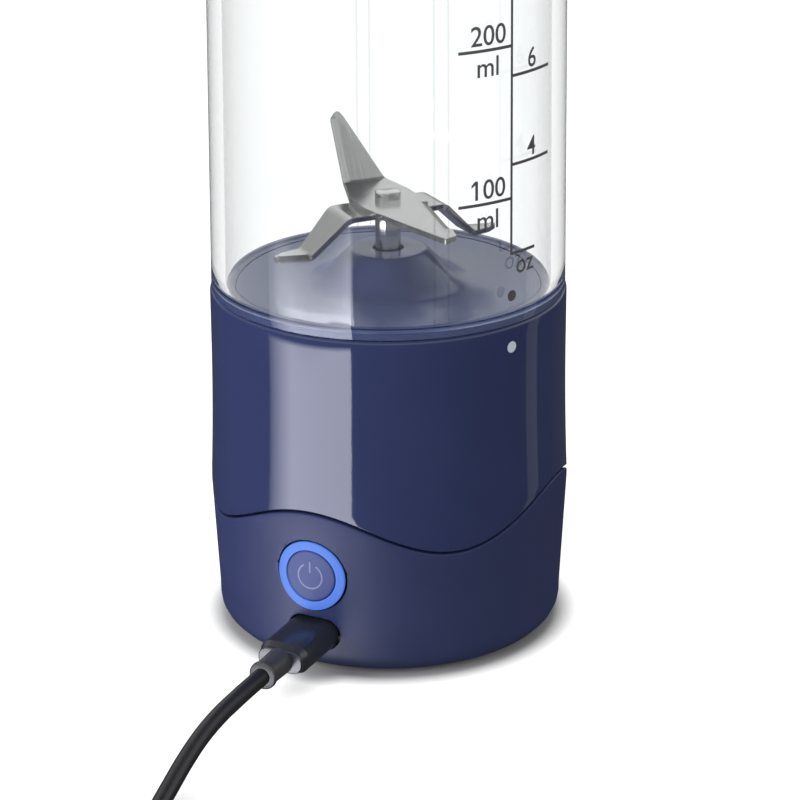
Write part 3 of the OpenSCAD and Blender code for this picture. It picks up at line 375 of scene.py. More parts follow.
def seam_height(angle):
    """Height of the wave at an angle in degrees, counted from the button towards +X."""
    knots = [(0, CREST), (47, 26.8), (93, CREST), (143, 26), (160, 25.4), (226, CREST), (293, 25.4),
             (310, 26), (360, CREST)]
    for (a, low), (b, high) in zip(knots, knots[1:]):
        if angle <= b:
            return low + (high - low) * (1 - math.cos(math.pi * (angle - a) / (b - a))) / 2


def waved(shape, start, end):
    """Moves a shell's edge from the wave's crest to the wave, easing out to nothing between two heights."""
    for vert in shape.verts:
        x, y, z = (1000 * c for c in vert.co)
        if z < 30 and math.hypot(x, y) < 34:
            continue
        drop = seam_height(math.degrees(math.atan2(x, -y)) % 360) - CREST
        share = min(1, max(0, (z - start) / (end - start)))
        lower_z = z + drop * (1 - math.cos(math.pi * share)) / 2
        radius = math.hypot(x, y)
        if radius > 34.6:
            radius += body_radius(lower_z) - body_radius(z)
        vert.co = Vector((x, y, 0)).normalized() * radius / 1000 + Vector((0, 0, lower_z / 1000))
    return shape


def carved(shape, core):
    """Takes a core's volume out of a shape."""
    objects = []
    for part in (shape, core):
        mesh = bpy.data.meshes.new("part")
        part.to_mesh(mesh)
        part.free()
        objects.append(bpy.data.objects.new("part", mesh))
        bpy.context.scene.collection.objects.link(objects[-1])
    cut = objects[0].modifiers.new("cut", "BOOLEAN")
    cut.object, cut.operation, cut.solver = objects[1], "DIFFERENCE", "EXACT"
    bpy.context.view_layer.update()
    result = bmesh.new()
    result.from_object(objects[0], bpy.context.evaluated_depsgraph_get())
    for part in objects:
        bpy.data.objects.remove(part)
    return result


def pin(radius, height, place=(0, 0, 0), turn=Matrix(), segments=48):
    """A round bar in millimetres, centred on a place."""
    shape = bmesh.new()
    bmesh.ops.create_cone(shape, cap_ends=True, segments=segments, radius1=radius / 1000,
                          radius2=radius / 1000, depth=height / 1000,
                          matrix=Matrix.Translation(Vector(place) / 1000) @ turn)
    return shape


def button_bore():
    """The hole for the button and its ring, which runs through both shells."""
    return pin(BORE_R, 8, (0, -34.9, BUTTON_Z), upright_to_front, segments=96)


def block(size, place, rounding=0.0, segments=3):
    """A box in millimetres, centred on a place, with rounded edges."""
    shape = bmesh.new()
    bmesh.ops.create_cube(shape, size=0.001, matrix=Matrix.Translation(Vector(place) / 1000)
                          @ Matrix.Diagonal((*size, 1)))
    return rounded(shape, rounding / 1000, segments, 0) if rounding else shape


def softened(shape, near, offset):
    """Rounds the edges that a test picks out by their middle points, in millimetres."""
    return rounded(shape, offset / 1000, 3, 0.6, lambda e: near((e.verts[0].co + e.verts[1].co) * 500))


satin_navy = finish("satin navy", moulded, (0.028, 0.037, 0.113), (0.031, 0.041, 0.122), (0.44, 0.5),
                    grain=3500, depth=0.3, shader={"Specular IOR Level": 0.3})
low_shell = waved(spun(
    [(31, 0.6, 0.2), (35.35, 0.6, 4.3)] + [(body_radius(z), z, 0) for z in range(7, 34, 2)]
    + [(body_radius(34.55), 34.55, 0.35), (34.1, 34.55, 0.2), (34.1, 22.4, 0), (33.25, 8, 0),
       (32.65, 4.6, 0), (25.6, 4.6, 0), (25.6, 2.9, 0), (31, 2.9, 0)], steps=240), 15, 33.2)
port = filled([(x, 0, z, 3.39) for x, z in ((-5.7, 5.4), (5.7, 5.4), (5.7, 12.2), (-5.7, 12.2))])
port.transform(Matrix.Translation((0, -0.031, 0)))
pushed(port, port.faces[:], (0, -0.007, 0))
bmesh.ops.recalc_face_normals(port, faces=port.faces)
low_shell = carved(low_shell, joined(port, button_bore()))
softened(low_shell, lambda p: p.y < -34 and abs(math.hypot(p.x, p.z - BUTTON_Z) - BORE_R) < 0.1, 0.2)
softened(low_shell, lambda p: p.y < -34 and abs(p.x) < 6 and 5.2 < p.z < 12.4, 0.25)
low_shell = joined(low_shell, *(block((2.2, 7.4, 9), (x, -29.5, 17.5)) for x in (-10.6, 10.6)),
                   *(pin(2.4, 5.2, (x, y, 7)) for x, y in SCREWS))
piece("lower_shell_moulding", low_shell, satin_navy, "base", ["lower_shell"])


# ---------- Bottom cover and foot ring ----------
# A round satin cover held by three screws, with a groove that takes a ring of black rubber. The ring
# stands a little below the shells and keeps the base from slipping.
cover = spun([(0, 0.6, 0), (19.2, 0.6, 0.2), (20.25, 0.6, 0.2), (20.25, 1.65, 0), (24.95, 1.65, 0),
              (24.95, 0.6, 0.2), (30.6, 0.6, 0.3), (30.6, 2.8, 0), (0, 2.8, 0)], steps=128, closed=False)
heads = None
for x, y in SCREWS:
    hole = joined(pin(2.3, 1.6, (x, y, 1)), pin(1.4, 4, (x, y, 2)))
    heads = joined(heads, hole) if heads else hole
cover = joined(carved(cover, heads), *(pin(1.8, 3, (x, -14.4, 4.05)) for x in (-12, 12)))
piece("bottom_cover_moulding", cover, satin_navy, "base", ["bottom_cover"])
foot_rubber = finish("foot rubber", moulded, (0.018, 0.018, 0.02), (0.03, 0.03, 0.032), (0.6, 0.75),
                     grain=2200, depth=0.8)
foot = spun([(20.35, 1.6, 0), (20.35, 0, 0.4), (21.6, 0, 0.1), (21.75, 0.25, 0.1), (21.95, 0.25, 0.1),
             (22.1, 0, 0.1), (23.1, 0, 0.1), (23.25, 0.25, 0.1), (23.45, 0.25, 0.1), (23.6, 0, 0.1),
             (24.85, 0, 0.4), (24.85, 1.6, 0)], steps=128)
piece("foot_ring_rubber", foot, foot_rubber, "base", ["foot_ring"])


# ---------- Upper shell ----------
# A glossy navy moulding whose lip locates in the lower shell. A fine groove follows the wave between
# them, the rim is bevelled, and three thread ridges in its slot hold the vessel.

def swept(corners, start, angle, steps, pitch=0.0):
    """Sweeps a filled outline round the upright axis from a start angle, rising by a pitch in a turn."""
    shape = filled(corners)
    shape.transform(upright_turn(start))
    bmesh.ops.spin(shape, geom=shape.verts[:] + shape.edges[:] + shape.faces[:], cent=(0, 0, 0),
                   axis=(0, 0, 1), angle=math.radians(angle), steps=steps,
                   dvec=(0, 0, pitch * angle / 360 / steps))
    bmesh.ops.recalc_face_normals(shape, faces=shape.faces)
    return shape


def threaded(shape, root, crest, start):
    """Adds three ridges on a wall, each a hundred degrees of a thread that rises 12 mm in a turn."""
    sunk = root + math.copysign(0.1, root - crest)
    profile = [(sunk, 0, start - 0.85, 0), (crest, 0, start - 0.4, 0.15), (crest, 0, start + 0.4, 0.15),
               (sunk, 0, start + 0.85, 0)]
    return joined(shape, *(swept(profile, angle, 100, 40, 0.012) for angle in (15, 135, 255)))


gloss_navy = finish("gloss navy", moulded, (0.031, 0.041, 0.115), (0.034, 0.045, 0.123), (0.05, 0.07),
                    grain=1200, depth=0.03, shader={"IOR": 1.5})
top_shell = waved(spun(
    [(32.9, 22.4, 0), (33.8, 22.4, 0.3), (33.8, 35.05, 0), (body_radius(35.05), 35.05, 0.35)]
    + [(body_radius(z), z, 0) for z in range(37, 70, 2)]
    + [(36, 71.5, 0.7), (33.45, 71.5, 0.3), (33.45, 59.9, 0), (32.9, 59.9, 0), (32.9, 57.2, 0),
       (33.9, 55.2, 0), (33.9, 42.8, 0), (32.9, 38.8, 0)], steps=240), 60, 36.4)
top_shell = carved(top_shell, button_bore())
piece("upper_shell_moulding", threaded(top_shell, 33.45, 32.8, 66.6), gloss_navy, "base",
      ["upper_shell"])


# ---------- Button and light ring ----------
# A satin cap moves in a blue ring that the board's lamps light from behind, set on a dark sleeve in the
# shell. Both faces follow the shell's curve, and the power mark is a hair-thin raised line.

def bowed(shape, radius=0.0366):
    """Stands a flat shape that faces up on the front of the base, bowed to a radius in metres."""
    for vert in shape.verts:
        x, y, z = vert.co
        vert.co = Vector((x, -math.sqrt(radius ** 2 - x * x) - z, BUTTON_Z / 1000 + y))
    return shape


cap_navy = finish("button navy", moulded, (0.055, 0.076, 0.24), (0.06, 0.083, 0.258), (0.48, 0.55),
                  grain=3500, depth=0.25, shader={"Specular IOR Level": 0.3})
button = spun([(0, 0, 0), (1.2, 0, 0), (2.4, 0, 0), (3.6, 0, 0), (4.6, 0, 0), (5.3, 0, 0.3), (5.3, -6, 0),
               (4.6, -6, 0), (4.6, -2.8, 0), (1.7, -2.8, 0), (1.7, -6, 0), (0, -6, 0)], steps=72,
              closed=False)
piece("power_button_cap", bowed(button), cap_navy, "button", ["power_button"])
mark_paint = finish("power mark", moulded, (0.14, 0.16, 0.36), (0.16, 0.18, 0.4), (0.35, 0.45), grain=3000,
                    depth=0.1)
mark = swept([(2.45, 0, -0.1, 0), (2.75, 0, -0.1, 0), (2.75, 0, 0.03, 0), (2.45, 0, 0.03, 0)], 120, 300, 40)
mark = joined(mark, block((0.3, 2.3, 0.13), (0, 1.9, -0.035)))
piece("power_mark", bowed(mark), mark_paint, "button")

lit_ring = finish("lit blue ring", moulded, (0.04, 0.1, 0.35), (0.05, 0.12, 0.4), (0.4, 0.5), grain=2500,
                  depth=0.1, shader={"Emission Color": (0.08, 0.2, 0.75, 1), "Emission Strength": 0.55,
                  "Specular IOR Level": 0.25})
ring = spun([(5.45, 0, 0.15), (7.3, 0, 0.2), (7.3, -0.35, 0), (5.45, -0.35, 0)])
sleeve = spun([(5.85, -0.38, 0), (7.05, -0.38, 0), (7.05, -3.4, 0), (8.4, -3.4, 0), (8.4, -5.2, 0),
               (7.05, -5.2, 0), (7.05, -8.8, 0), (5.85, -8.8, 0)])
sleeve_blue = finish("ring sleeve", moulded, (0.01, 0.015, 0.09), (0.012, 0.018, 0.1), (0.5, 0.6),
                     grain=2500, depth=0.1)
piece("light_ring_sleeve", bowed(sleeve), sleeve_blue, "base", ["light_ring"])
piece("light_ring_lens", bowed(ring), lit_ring, "base", ["light_ring"])


# ---------- Vessel ----------
# A clear copolyester vessel with thick walls and thread ridges on its neck and its mouth. Two pairs of thin
# grey lines in its tint are painted shade, standing for the edges of two ribs inside its wall. It screws
# into the base, and a navy ring fills its foot.
clear = finish("clear copolyester", moulded, (0.975, 0.985, 0.985), (0.965, 0.98, 0.98), (0.005, 0.015),
               grain=60, depth=0.02, shader={"Transmission Weight": 1, "IOR": 1.5})
tree = clear.node_tree
tint = tree.nodes["Principled BSDF"].inputs["Base Color"]
slant = step(tree, "LayerWeight", {"Blend": 0.5})["Facing"]
edge = step(tree, "MapRange", {0: slant, 1: 0.35, 2: 0.75})[0]
shaded = step(tree, "Mix", {0: edge, 6: tint.links[0].from_socket, 7: (0.87, 0.875, 0.88, 1)},
              data_type="RGBA")[2]
# Mixes in painted shade: thin grey strips along the edges of the two inner ribs
rib_edge_shade = step(tree, "Attribute", {}, attribute_name="rib_edge_shade")["Fac"]
tree.links.new(step(tree, "Mix", {0: rib_edge_shade, 6: shaded, 7: (0.62, 0.63, 0.64, 1)}, data_type="RGBA")[2],
               tint)
rays = step(tree, "LightPath", {})
lets_light = step(tree, "Math", {0: rays["Is Shadow Ray"], 1: rays["Is Diffuse Ray"]},
                  operation="MAXIMUM")[0]
tree.links.new(step(tree, "MixShader", {
    0: lets_light, 1: tree.nodes["Principled BSDF"].outputs[0],
    2: step(tree, "BsdfTransparent", {"Color": (0.93, 0.94, 0.94, 1)})[0]})[0],
    tree.nodes["Material Output"].inputs["Surface"])
vessel = spun([
    (30.75, 63.1, 0.3), (32.5, 63.1, 0.3), (32.5, 71.45, 0.3), (35.7, 71.45, 0.4), (35.69, 73.5, 0),
    (35.67, 76, 0), (34.73, 173, 0), (34.71, 175, 0), (34.7, 176.9, 1), (34.3, 178.6, 0.3),
    (31.8, 178.7, 0.3), (31.8, 190, 0.4), (29.4, 190, 0.4), (29.4, 177.5, 2), (31.75, 171.5, 2),
    (31.78, 169, 0)]
    + [(31.79 + (168 - z) * 0.0107, z, 0) for z in (168, 166.5, 165, 163, 84, 82, 80.5, 79, 77.5)]
    + [(32.78, 76, 0), (32.79, 73.1, 0.5), (30.75, 72.7, 0.3)], steps=600)
# Painted shade for the edges of two inner ribs: a thin grey strip 2.4 degrees to each side of each rib's
# middle
lines = vessel.verts.layers.float.new("rib_edge_shade")
for vert in vessel.verts:
    x, y, z = (1000 * c for c in vert.co)
    if math.hypot(x, y) < 33.5 and z > 72:
        angle = math.degrees(math.atan2(y, x))
        beside = min(abs((angle - middle + 180) % 360 - 180) for middle in (-46.8, 124.8))
        vert[lines] = max(0, 1 - abs(beside - 2.4) / 0.6)
vessel = threaded(threaded(vessel, 32.5, 33.15, 64.85), 31.8, 32.45, 184.8)
piece("vessel_body", vessel, clear, "vessel", ["vessel"])
foot_fill = spun([(30.85, 72.6, 0), (33, 72.6, 0), (33, 71.7, 0), (35.35, 71.7, 0), (35.35, 73, 0.1),
                  (32.6, 73, 0), (30.85, 72.9, 0.12)], steps=240)
piece("vessel_foot_ring", foot_fill, deck_navy, "vessel")


# ---------- Printed scale and dots ----------
# Dark ink is screen-printed on the outside of the vessel, millilitres on one side of a long line and
# ounces on the other. A dot on the vessel meets a pale dot on the base when it is locked.

def wrapped(shape, angle, height, surface):
    """Bends a flat print round the upright axis, at an angle from the button towards +X."""
    width = max(abs(v.co.x) for v in shape.verts)
    for k in range(-int(width * 1000), int(width * 1000) + 1):
        bmesh.ops.bisect_plane(shape, geom=shape.verts[:] + shape.edges[:] + shape.faces[:],
                               plane_co=(k / 1000, 0, 0), plane_no=(1, 0, 0))
    for vert in shape.verts:
        z = height + 1000 * vert.co.y
        radius = (surface(z) + 1000 * vert.co.z) / 1000
        turn = math.radians(angle - 90) + vert.co.x / (surface(z) / 1000)
        vert.co = Vector((radius * math.cos(turn), radius * math.sin(turn), z / 1000))
    return shape


FIGURE, FILM = 3.9, 0.06        # height of the figures and thickness of the ink, millimetres
SCALE_SIDE = 67.2               # the long line's angle from the button, degrees


def vessel_radius(z):
    """Outer radius of the vessel's wall at a height, both in millimetres."""
    return 35.7 - (z - 73.6) / 103.3


def figures(words, angle, height):
    """Printed figures or letters, the middle of their foot at an angle and a height."""
    curve = bpy.data.curves.new("figures", "FONT")
    curve.body, curve.align_x, curve.size = words, "CENTER", FIGURE / 0.72 / 1000
    curve.extrude = curve.offset = 0.00003
    holder = bpy.data.objects.new("figures", curve)
    bpy.context.scene.collection.objects.link(holder)
    bpy.context.view_layer.update()
    mesh = bpy.data.meshes.new_from_object(holder.evaluated_get(bpy.context.evaluated_depsgraph_get()))
    shape = bmesh.new()
    shape.from_mesh(mesh)
    bpy.data.objects.remove(holder)
    if words.startswith("1"):
        x, y = 1000 * min(v.co.x for v in shape.verts), 1000 * max(v.co.y for v in shape.verts)
        flag = filled([(x + dx * FIGURE, y + dy * FIGURE, -0.03, 0)
                       for dx, dy in ((0, 0), (0, -0.2), (-0.2, -0.34), (-0.2, -0.2))])
        bmesh.ops.solidify(flag, geom=flag.faces[:], thickness=-FILM / 1000)
        shape = joined(shape, flag)
    bmesh.ops.triangulate(shape, faces=shape.faces[:])
    return wrapped(shape, angle, height, vessel_radius)


def tick(start, end, height):
    """A printed line round the vessel between two angles."""
    length = math.radians(end - start) * vessel_radius(height)
    return wrapped(block((length, 0.6, FILM), (0, 0, 0)), (start + end) / 2, height, vessel_radius)


ink = finish("scale ink", moulded, (0.09, 0.09, 0.095), (0.11, 0.11, 0.115), (0.4, 0.5), grain=2500,
             depth=0.2)
scale = wrapped(block((0.55, 89.5, FILM), (0, 44.75, 0)), SCALE_SIDE, 85.9, vessel_radius)
bmesh.ops.subdivide_edges(scale, edges=[e for e in scale.edges if e.calc_length() > 0.08], cuts=3)
for amount, height in ((100, 97.2), (200, 126.9), (300, 156.6)):
    scale = joined(scale, tick(47.6, SCALE_SIDE, height), figures(str(amount), 58.2, height + 1),
                   figures("ml", 58, height - 5))
for amount, height in ((4, 103.8), (6, 121.1), (8, 138.4), (10, 155.7), (12, 173)):
    scale = joined(scale, tick(SCALE_SIDE, 86, height), figures(str(amount), 76.5, height + 0.8))
scale = joined(scale, tick(SCALE_SIDE, 78.2, 86.1), figures("oz", 73.4, 81.8),
               wrapped(pin(1.1, FILM, segments=32), 67.5, 77.6, vessel_radius))
piece("vessel_scale", scale, ink, "vessel").visible_glossy = False
pale_ink = finish("pale ink", moulded, (0.72, 0.78, 0.9), (0.66, 0.72, 0.84), (0.35, 0.45), grain=2500,
                  depth=0.2)
base_dot = wrapped(pin(1.15, FILM, segments=32), SCALE_SIDE, 67.2, body_radius)
piece("base_dot", base_dot, pale_ink, "base")


# ---------- Seals ----------
# Soft moulded silicone: a ring under the vessel's neck, one under the lid, and the plug that is
# pressed into the flip cap.
silicone = finish("pale silicone", moulded, (0.62, 0.64, 0.66), (0.7, 0.72, 0.74), (0.35, 0.5), grain=1800,
                  depth=0.2, shader={"Subsurface Weight": 0.15, "Subsurface Radius": (0.001, 0.001, 0.001)})
coat(silicone, "neck_gasket", "lid_gasket", "cap_plug")


# ---------- Lid ----------
# A glossy navy screw lid with a drinking spout. Two small ears hold the cap's steel pin and two round
# ones the pins of the carry loop, all in one moulding.

def plate(corners, thickness):
    """A flat plate in millimetres, with an outline of (x, y, cut)."""
    shape = filled([(x, y, 0, cut) for x, y, cut in corners])
    pushed(shape, shape.faces[:], (0, 0, thickness / 1000))
    bmesh.ops.recalc_face_normals(shape, faces=shape.faces)
    return rounded(shape, 0.0002, 2, 0.9)


across = Matrix(((0, 0, 1, 0), (1, 0, 0, 0), (0, 1, 0, 0), (0, 0, 0, 1)))    # stands a plate up, across X
spout_place = Matrix.Translation((0, -0.0155, 0))
lid = spun([(0, 191.4, 0), (32.75, 191.4, 0.5), (32.75, 179.1, 0.3), (34.8, 179.1, 0.4), (34.8, 180.6, 0.1),
            (34.6, 180.8, 0.1), (34.6, 181.1, 0.1), (34.8, 181.3, 0.1), (34.8, 193.8, 3), (27, 193.8, 0),
            (14, 193.8, 0), (0, 193.8, 0)], steps=192, closed=False)
lid = carved(threaded(lid, 32.75, 32.1, 183.05), pin(6.3, 8, (0, -15.5, 192)))
spout = spun([(6.2, 191.35, 0.2), (11.2, 193.7, 0), (8.5, 193.95, 1.8), (8.4, 203.8, 0.6),
              (6.2, 203.8, 0.6)])
spout.transform(spout_place)
lid = joined(lid, spout)
cap_ear = [(-6.7, 193.4, 0), (-3.1, 193.4, 0), (-3.1, 204.1, 1.79), (-6.7, 204.1, 1.79)]
loop_ear = [(-3.2, 193.4, 0), (3.2, 193.4, 0), (3.2, 200.6, 3.19), (-3.2, 200.6, 3.19)]
for x, outline, thickness in ((-7.4, cap_ear, 2.2), (5.2, cap_ear, 2.2), (-27.9, loop_ear, 2.8),
                              (25.1, loop_ear, 2.8)):
    ear = plate(outline, thickness)
    ear.transform(Matrix.Translation((x / 1000, 0, 0)) @ across)
    lid = joined(lid, ear)
piece("lid_moulding", lid, gloss_navy, "lid", ["lid"])


# ---------- Flip cap ----------
# A round navy cap with a thumb tab, turning on the steel pin behind the spout. Its silicone plug closes
# the spout's bore.
cap = spun([(0, 204.1, 0), (10.4, 204.1, 0.3), (10.4, 207.3, 1), (8, 207.3, 0.6), (7, 206.9, 0.6),
            (0, 206.9, 0)], closed=False)
cap.transform(spout_place)
upright_to_side = Matrix.Rotation(math.pi / 2, 4, "Y")
knuckle = spun([(1.06, -4.8, 0), (1.8, -4.8, 0.25), (1.8, 4.8, 0.25), (1.06, 4.8, 0)], steps=32)
knuckle.transform(Matrix.Translation((0, -0.0049, 0.2023)) @ upright_to_side)
cap = joined(cap, knuckle, block((6, 4.4, 1.6), (0, -25.1, 204.9), 0.5),
             block((9.6, 1.8, 1.1), (0, -5.8, 204.05), 0.3))
piece("flip_cap_moulding", cap, gloss_navy, "cap", ["flip_cap"])


# ---------- Carry loop ----------
# A half ring of glossy navy plastic with an eye at each end, hung on two steel pins so that it folds
# down round the lid.
loop = swept([(28.2, 0, 195.6, 1.2), (32.8, 0, 195.6, 1.2), (32.8, 0, 199.2, 1.2), (28.2, 0, 199.2, 1.2)],
             4.3, 171.4, 96)
for x in (-30.5, 30.5):
    eye = spun([(1.56, -2.3, 0.2), (3.2, -2.3, 0.6), (3.2, 2.3, 0.6), (1.56, 2.3, 0.2)], steps=48)
    eye.transform(Matrix.Translation((x / 1000, 0, 0.1974)) @ upright_to_side)
    loop = joined(loop, eye)
piece("carry_loop_bar", loop, gloss_navy, "loop", ["carry_loop"])


# ---------- Charging plug ----------
# A black overmould with a chamfered shoulder and a ringed grey neck, round the steel shell of a small
# reversible plug.
PLUG_Z = 0.0088      # height of the plug's middle, metres
plug_black = finish("plug black", moulded, (0.018, 0.02, 0.027), (0.024, 0.027, 0.036), (0.22, 0.3),
                    grain=2800, depth=0.2, shader={"Specular IOR Level": 0.8})
plug = filled([(-5.3, 0, -3, 2.6), (5.3, 0, -3, 2.6), (5.3, 0, 3, 2.6), (-5.3, 0, 3, 2.6)])
end = plug.faces[:]
for length, share in ((12.8, 1), (0.25, 1), (1.4, 0.8), (0.75, 1)):
    end = pushed(plug, end, (0, -length / 1000, 0))
    bmesh.ops.scale(plug, vec=(1 - (1 - share) * 0.5, 1, share), verts=end[0].verts[:])
bmesh.ops.recalc_face_normals(plug, faces=plug.faces)
rounded(plug, 0.00025, 3, 0.35, lambda e: abs(e.verts[0].co.y - e.verts[1].co.y) < 1e-5)
plug.transform(Matrix.Translation((0, -0.0348, PLUG_Z)))
piece("usb_plug_overmould", plug, plug_black, "lead", ["usb_plug"])
neck_grey = finish("neck grey", moulded, (0.045, 0.045, 0.05), (0.06, 0.06, 0.065), (0.25, 0.35),
                   grain=2800, depth=0.2)
neck = spun([(0, 49.8, 0), (2.75, 49.8, 0), (2.6, 55.8, 0.2), (2.45, 56.2, 0.2), (2.9, 56.4, 0.2),
             (2.9, 57.3, 0.3), (1.8, 57.5, 0.1), (0, 57.5, 0)], steps=64, closed=False)
neck.transform(Matrix.Translation((0, 0, PLUG_Z)) @ upright_to_front)
piece("plug_neck_moulding", neck, neck_grey, "lead", ["plug_neck"])
coat(nickel, "usb_plug_tip", "far_plug_shell")


# ---------- Cord ----------
# A round black charging lead, 3.5 mm thick. It leaves the plug level, sinks to the table and lies in a
# flat coil, and its end rises to the far plug on top.
COIL_X, COIL_Y, ON_TABLE = -14, -141, 2.15     # the coil's middle and the cord's height, millimetres
jacket = finish("cord jacket", moulded, (0.011, 0.011, 0.013), (0.016, 0.016, 0.019), (0.3, 0.4),
                grain=1800, depth=0.25)
route = [
    (0, -57.5, 8.8), (0, -62, 8.8), (0, -68, 8.7), (0.05, -75, 8.4), (0.3, -82, 7.6), (0.8, -89, 6.2),
    (1.6, -96, 4.6), (2.6, -103, 3.2), (3.7, -109, 2.4), (4.9, -115, ON_TABLE), (6.1, -121, ON_TABLE),
    (7.4, -127, ON_TABLE)]
for k in range(73):
    turn = 20 - 18 * k
    radius = 24.25 - 3.5 * (20 - turn) / 360
    route.append((COIL_X + radius * math.cos(math.radians(turn)),
                  COIL_Y + radius * math.sin(math.radians(turn)), ON_TABLE))
route += [(-23.7, -135.4, 2.9), (-21.5, -133.5, 4.1), (-18.6, -132.35, 5.8), (-16.1, -131.95, 7.2),
          (-14, -132, 7.85), (-12, -132, 8)]
curve = bpy.data.curves.new("charging_cord", "CURVE")
curve.dimensions, curve.resolution_u, curve.bevel_depth, curve.bevel_resolution = "3D", 6, 0.00175, 6
curve.use_fill_caps = True
spline = curve.splines.new("BEZIER")
spline.bezier_points.add(len(route) - 1)
for point, place in zip(spline.bezier_points, route):
    point.co = Vector(place) / 1000
    point.handle_left_type = point.handle_right_type = "AUTO"
curve.materials.append(jacket)
cord = bpy.data.objects.new("charging_cord", curve)
bpy.context.scene.collection.objects.link(cord)
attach(cord, "lead")
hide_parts("cord", "cord_coil", "cord_tail")


# ---------- Far plug ----------
# The lead's other end: a larger black overmould with a recessed grip on each face, a ribbed neck and
# a pressed steel shell. It rests on the coil.
far_plug = block((17, 15.6, 8), (3.5, -132, 8), 1.6, 4)
for side in (1, -1):
    face = max(far_plug.faces, key=lambda f: f.calc_center_median().z * side)
    bmesh.ops.inset_individual(far_plug, faces=[face], thickness=0.0022)
    bmesh.ops.inset_individual(far_plug, faces=[face], thickness=0.0004, depth=-0.0003)
piece("far_plug_overmould", far_plug, plug_black, "lead", ["far_plug"])
far_neck = spun([
    (0, 0, 0), (2.35, 0, 0.4), (2.5, 1.4, 0.2), (2.1, 1.6, 0.2), (2.1, 2.1, 0.2), (2.6, 2.3, 0.2),
    (2.8, 3.5, 0.2), (2.3, 3.7, 0.2), (2.3, 4.2, 0.2), (2.9, 4.4, 0.2), (3.2, 7.1, 0), (0, 7.1, 0)],
    steps=48, closed=False)
far_neck.transform(Matrix.Translation((-0.012, -0.132, 0.008)) @ upright_to_side)
piece("far_neck_moulding", far_neck, neck_grey, "lead", ["far_neck"])


# ---------- Cable tie ----------
# A black woven hook-and-loop strap, cut from tape. It goes round one side of the coil, and its end is
# lapped over and pressed down.
weave = bpy.data.materials.new("woven strap")
weave.use_nodes = True
tree = weave.node_tree
principled = tree.nodes["Principled BSDF"]
place = step(tree, "Attribute", {}, attribute_name="cloth")["Vector"]
warp = step(tree, "TexWave", {"Vector": place, "Scale": 900, "Distortion": 0.3}, bands_direction="X")[1]
weft = step(tree, "TexWave", {"Vector": place, "Scale": 900, "Distortion": 0.3}, bands_direction="Y")[1]
threads = step(tree, "Math", {0: warp, 1: weft}, operation="MULTIPLY")[0]
tree.links.new(step(tree, "Mix", {0: threads, 6: (0.012, 0.012, 0.014, 1), 7: (0.05, 0.05, 0.055, 1)},
                    data_type="RGBA")[2], principled.inputs["Base Color"])
tree.links.new(step(tree, "Bump", {"Strength": 0.6, "Distance": 0.0001, "Height": threads})[0],
               principled.inputs["Normal"])
principled.inputs["Roughness"].default_value = 0.85
principled.inputs["Sheen Weight"].default_value = 0.3
strap = traced([(9.75, 0, 0.15, 0.8), (26.25, 0, 0.15, 0.8), (26.25, 0, 4.15, 0.8), (9.75, 0, 4.15, 0.8)])
lap = traced([(26.55, 0, 1.4, 0), (26.55, 0, 4.25, 0.7), (17, 0, 4.28, 0)], closed=False)
strap = joined(strap, lap)
wide = bmesh.ops.extrude_edge_only(strap, edges=strap.edges[:])["geom"]
bmesh.ops.translate(strap, vec=(0, 0.01, 0), verts=[v for v in wide if isinstance(v, bmesh.types.BMVert)])
cloth = strap.verts.layers.float_vector.new("cloth")
for vert in strap.verts:
    vert[cloth] = Vector((vert.co.x + vert.co.z, vert.co.y, 0))
bmesh.ops.recalc_face_normals(strap, faces=strap.faces)
bmesh.ops.solidify(strap, geom=strap.faces[:], thickness=0.00025)
strap.transform(Matrix.Translation((COIL_X / 1000, COIL_Y / 1000, 0)) @ upright_turn(235)
                @ Matrix.Translation((0, -0.005, 0)))
tie = piece("cable_tie_strap", strap, weave, "lead", ["cable_tie"])


# ---------- Table and studio ----------
# A white table in a pale room, lit by a window on the left and a weak fill on the right. A softbox to
# the front left and a narrow strip behind show only as reflections, with the room's darker floor and top.
table = bmesh.new()
bmesh.ops.create_circle(table, cap_ends=True, segments=96, radius=4)
mesh = bpy.data.meshes.new("table")
table.to_mesh(mesh)
table.free()
table = bpy.data.objects.new("table", mesh)
bpy.context.scene.collection.objects.link(table)
table.visible_glossy = table.visible_transmission = table.visible_shadow = False
for name in ("charging_cord", "far_plug_overmould", "far_neck_moulding", "cable_tie_strap"):
    bpy.data.objects[name].visible_glossy = False
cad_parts["far_plug_shell"].visible_glossy = False


def straight(tree):
    """One for rays that come from the camera, or through clear walls, without being reflected."""
    rays = step(tree, "LightPath", {})
    seen = step(tree, "Math", {0: rays["Is Camera Ray"], 1: rays["Is Transmission Ray"]},
                operation="MAXIMUM")[0]
    matt = step(tree, "Math", {0: rays["Diffuse Depth"], 1: 0.5}, operation="GREATER_THAN")[0]
    mirror = step(tree, "Math", {0: rays["Glossy Depth"], 1: 0.5}, operation="GREATER_THAN")[0]
    inside = step(tree, "Math", {0: rays["Transmission Depth"], 1: 2.5}, operation="GREATER_THAN")[0]
    turned = step(tree, "Math", {0: mirror, 1: inside, 2: matt}, operation="MULTIPLY_ADD")[0]
    return step(tree, "Math", {0: seen, 1: turned}, operation="SUBTRACT", use_clamp=True)[0]


top_white = bpy.data.materials.new("white table")
top_white.use_nodes = True
mesh.materials.append(top_white)
tree = top_white.node_tree
# Painted contact shadow: the glow fades by ambient occlusion near the object, on top of the real shadows on
# the paper
nearby = step(tree, "AmbientOcclusion", {"Distance": 0.007}, samples=16)["AO"]
open_air = step(tree, "MapRange", {0: nearby, 1: 0.45, 2: 0.88, 3: 0, 4: 0.9})[0]
glow = step(tree, "Math", {0: straight(tree), 1: open_air}, operation="MULTIPLY")[0]
paper = step(tree, "BsdfDiffuse", {"Color": (0.55, 0.55, 0.55, 1)})[0]
light = step(tree, "Emission", {"Strength": glow})[0]
tree.links.new(step(tree, "AddShader", {0: paper, 1: light})[0], tree.nodes["Material Output"].inputs[0])


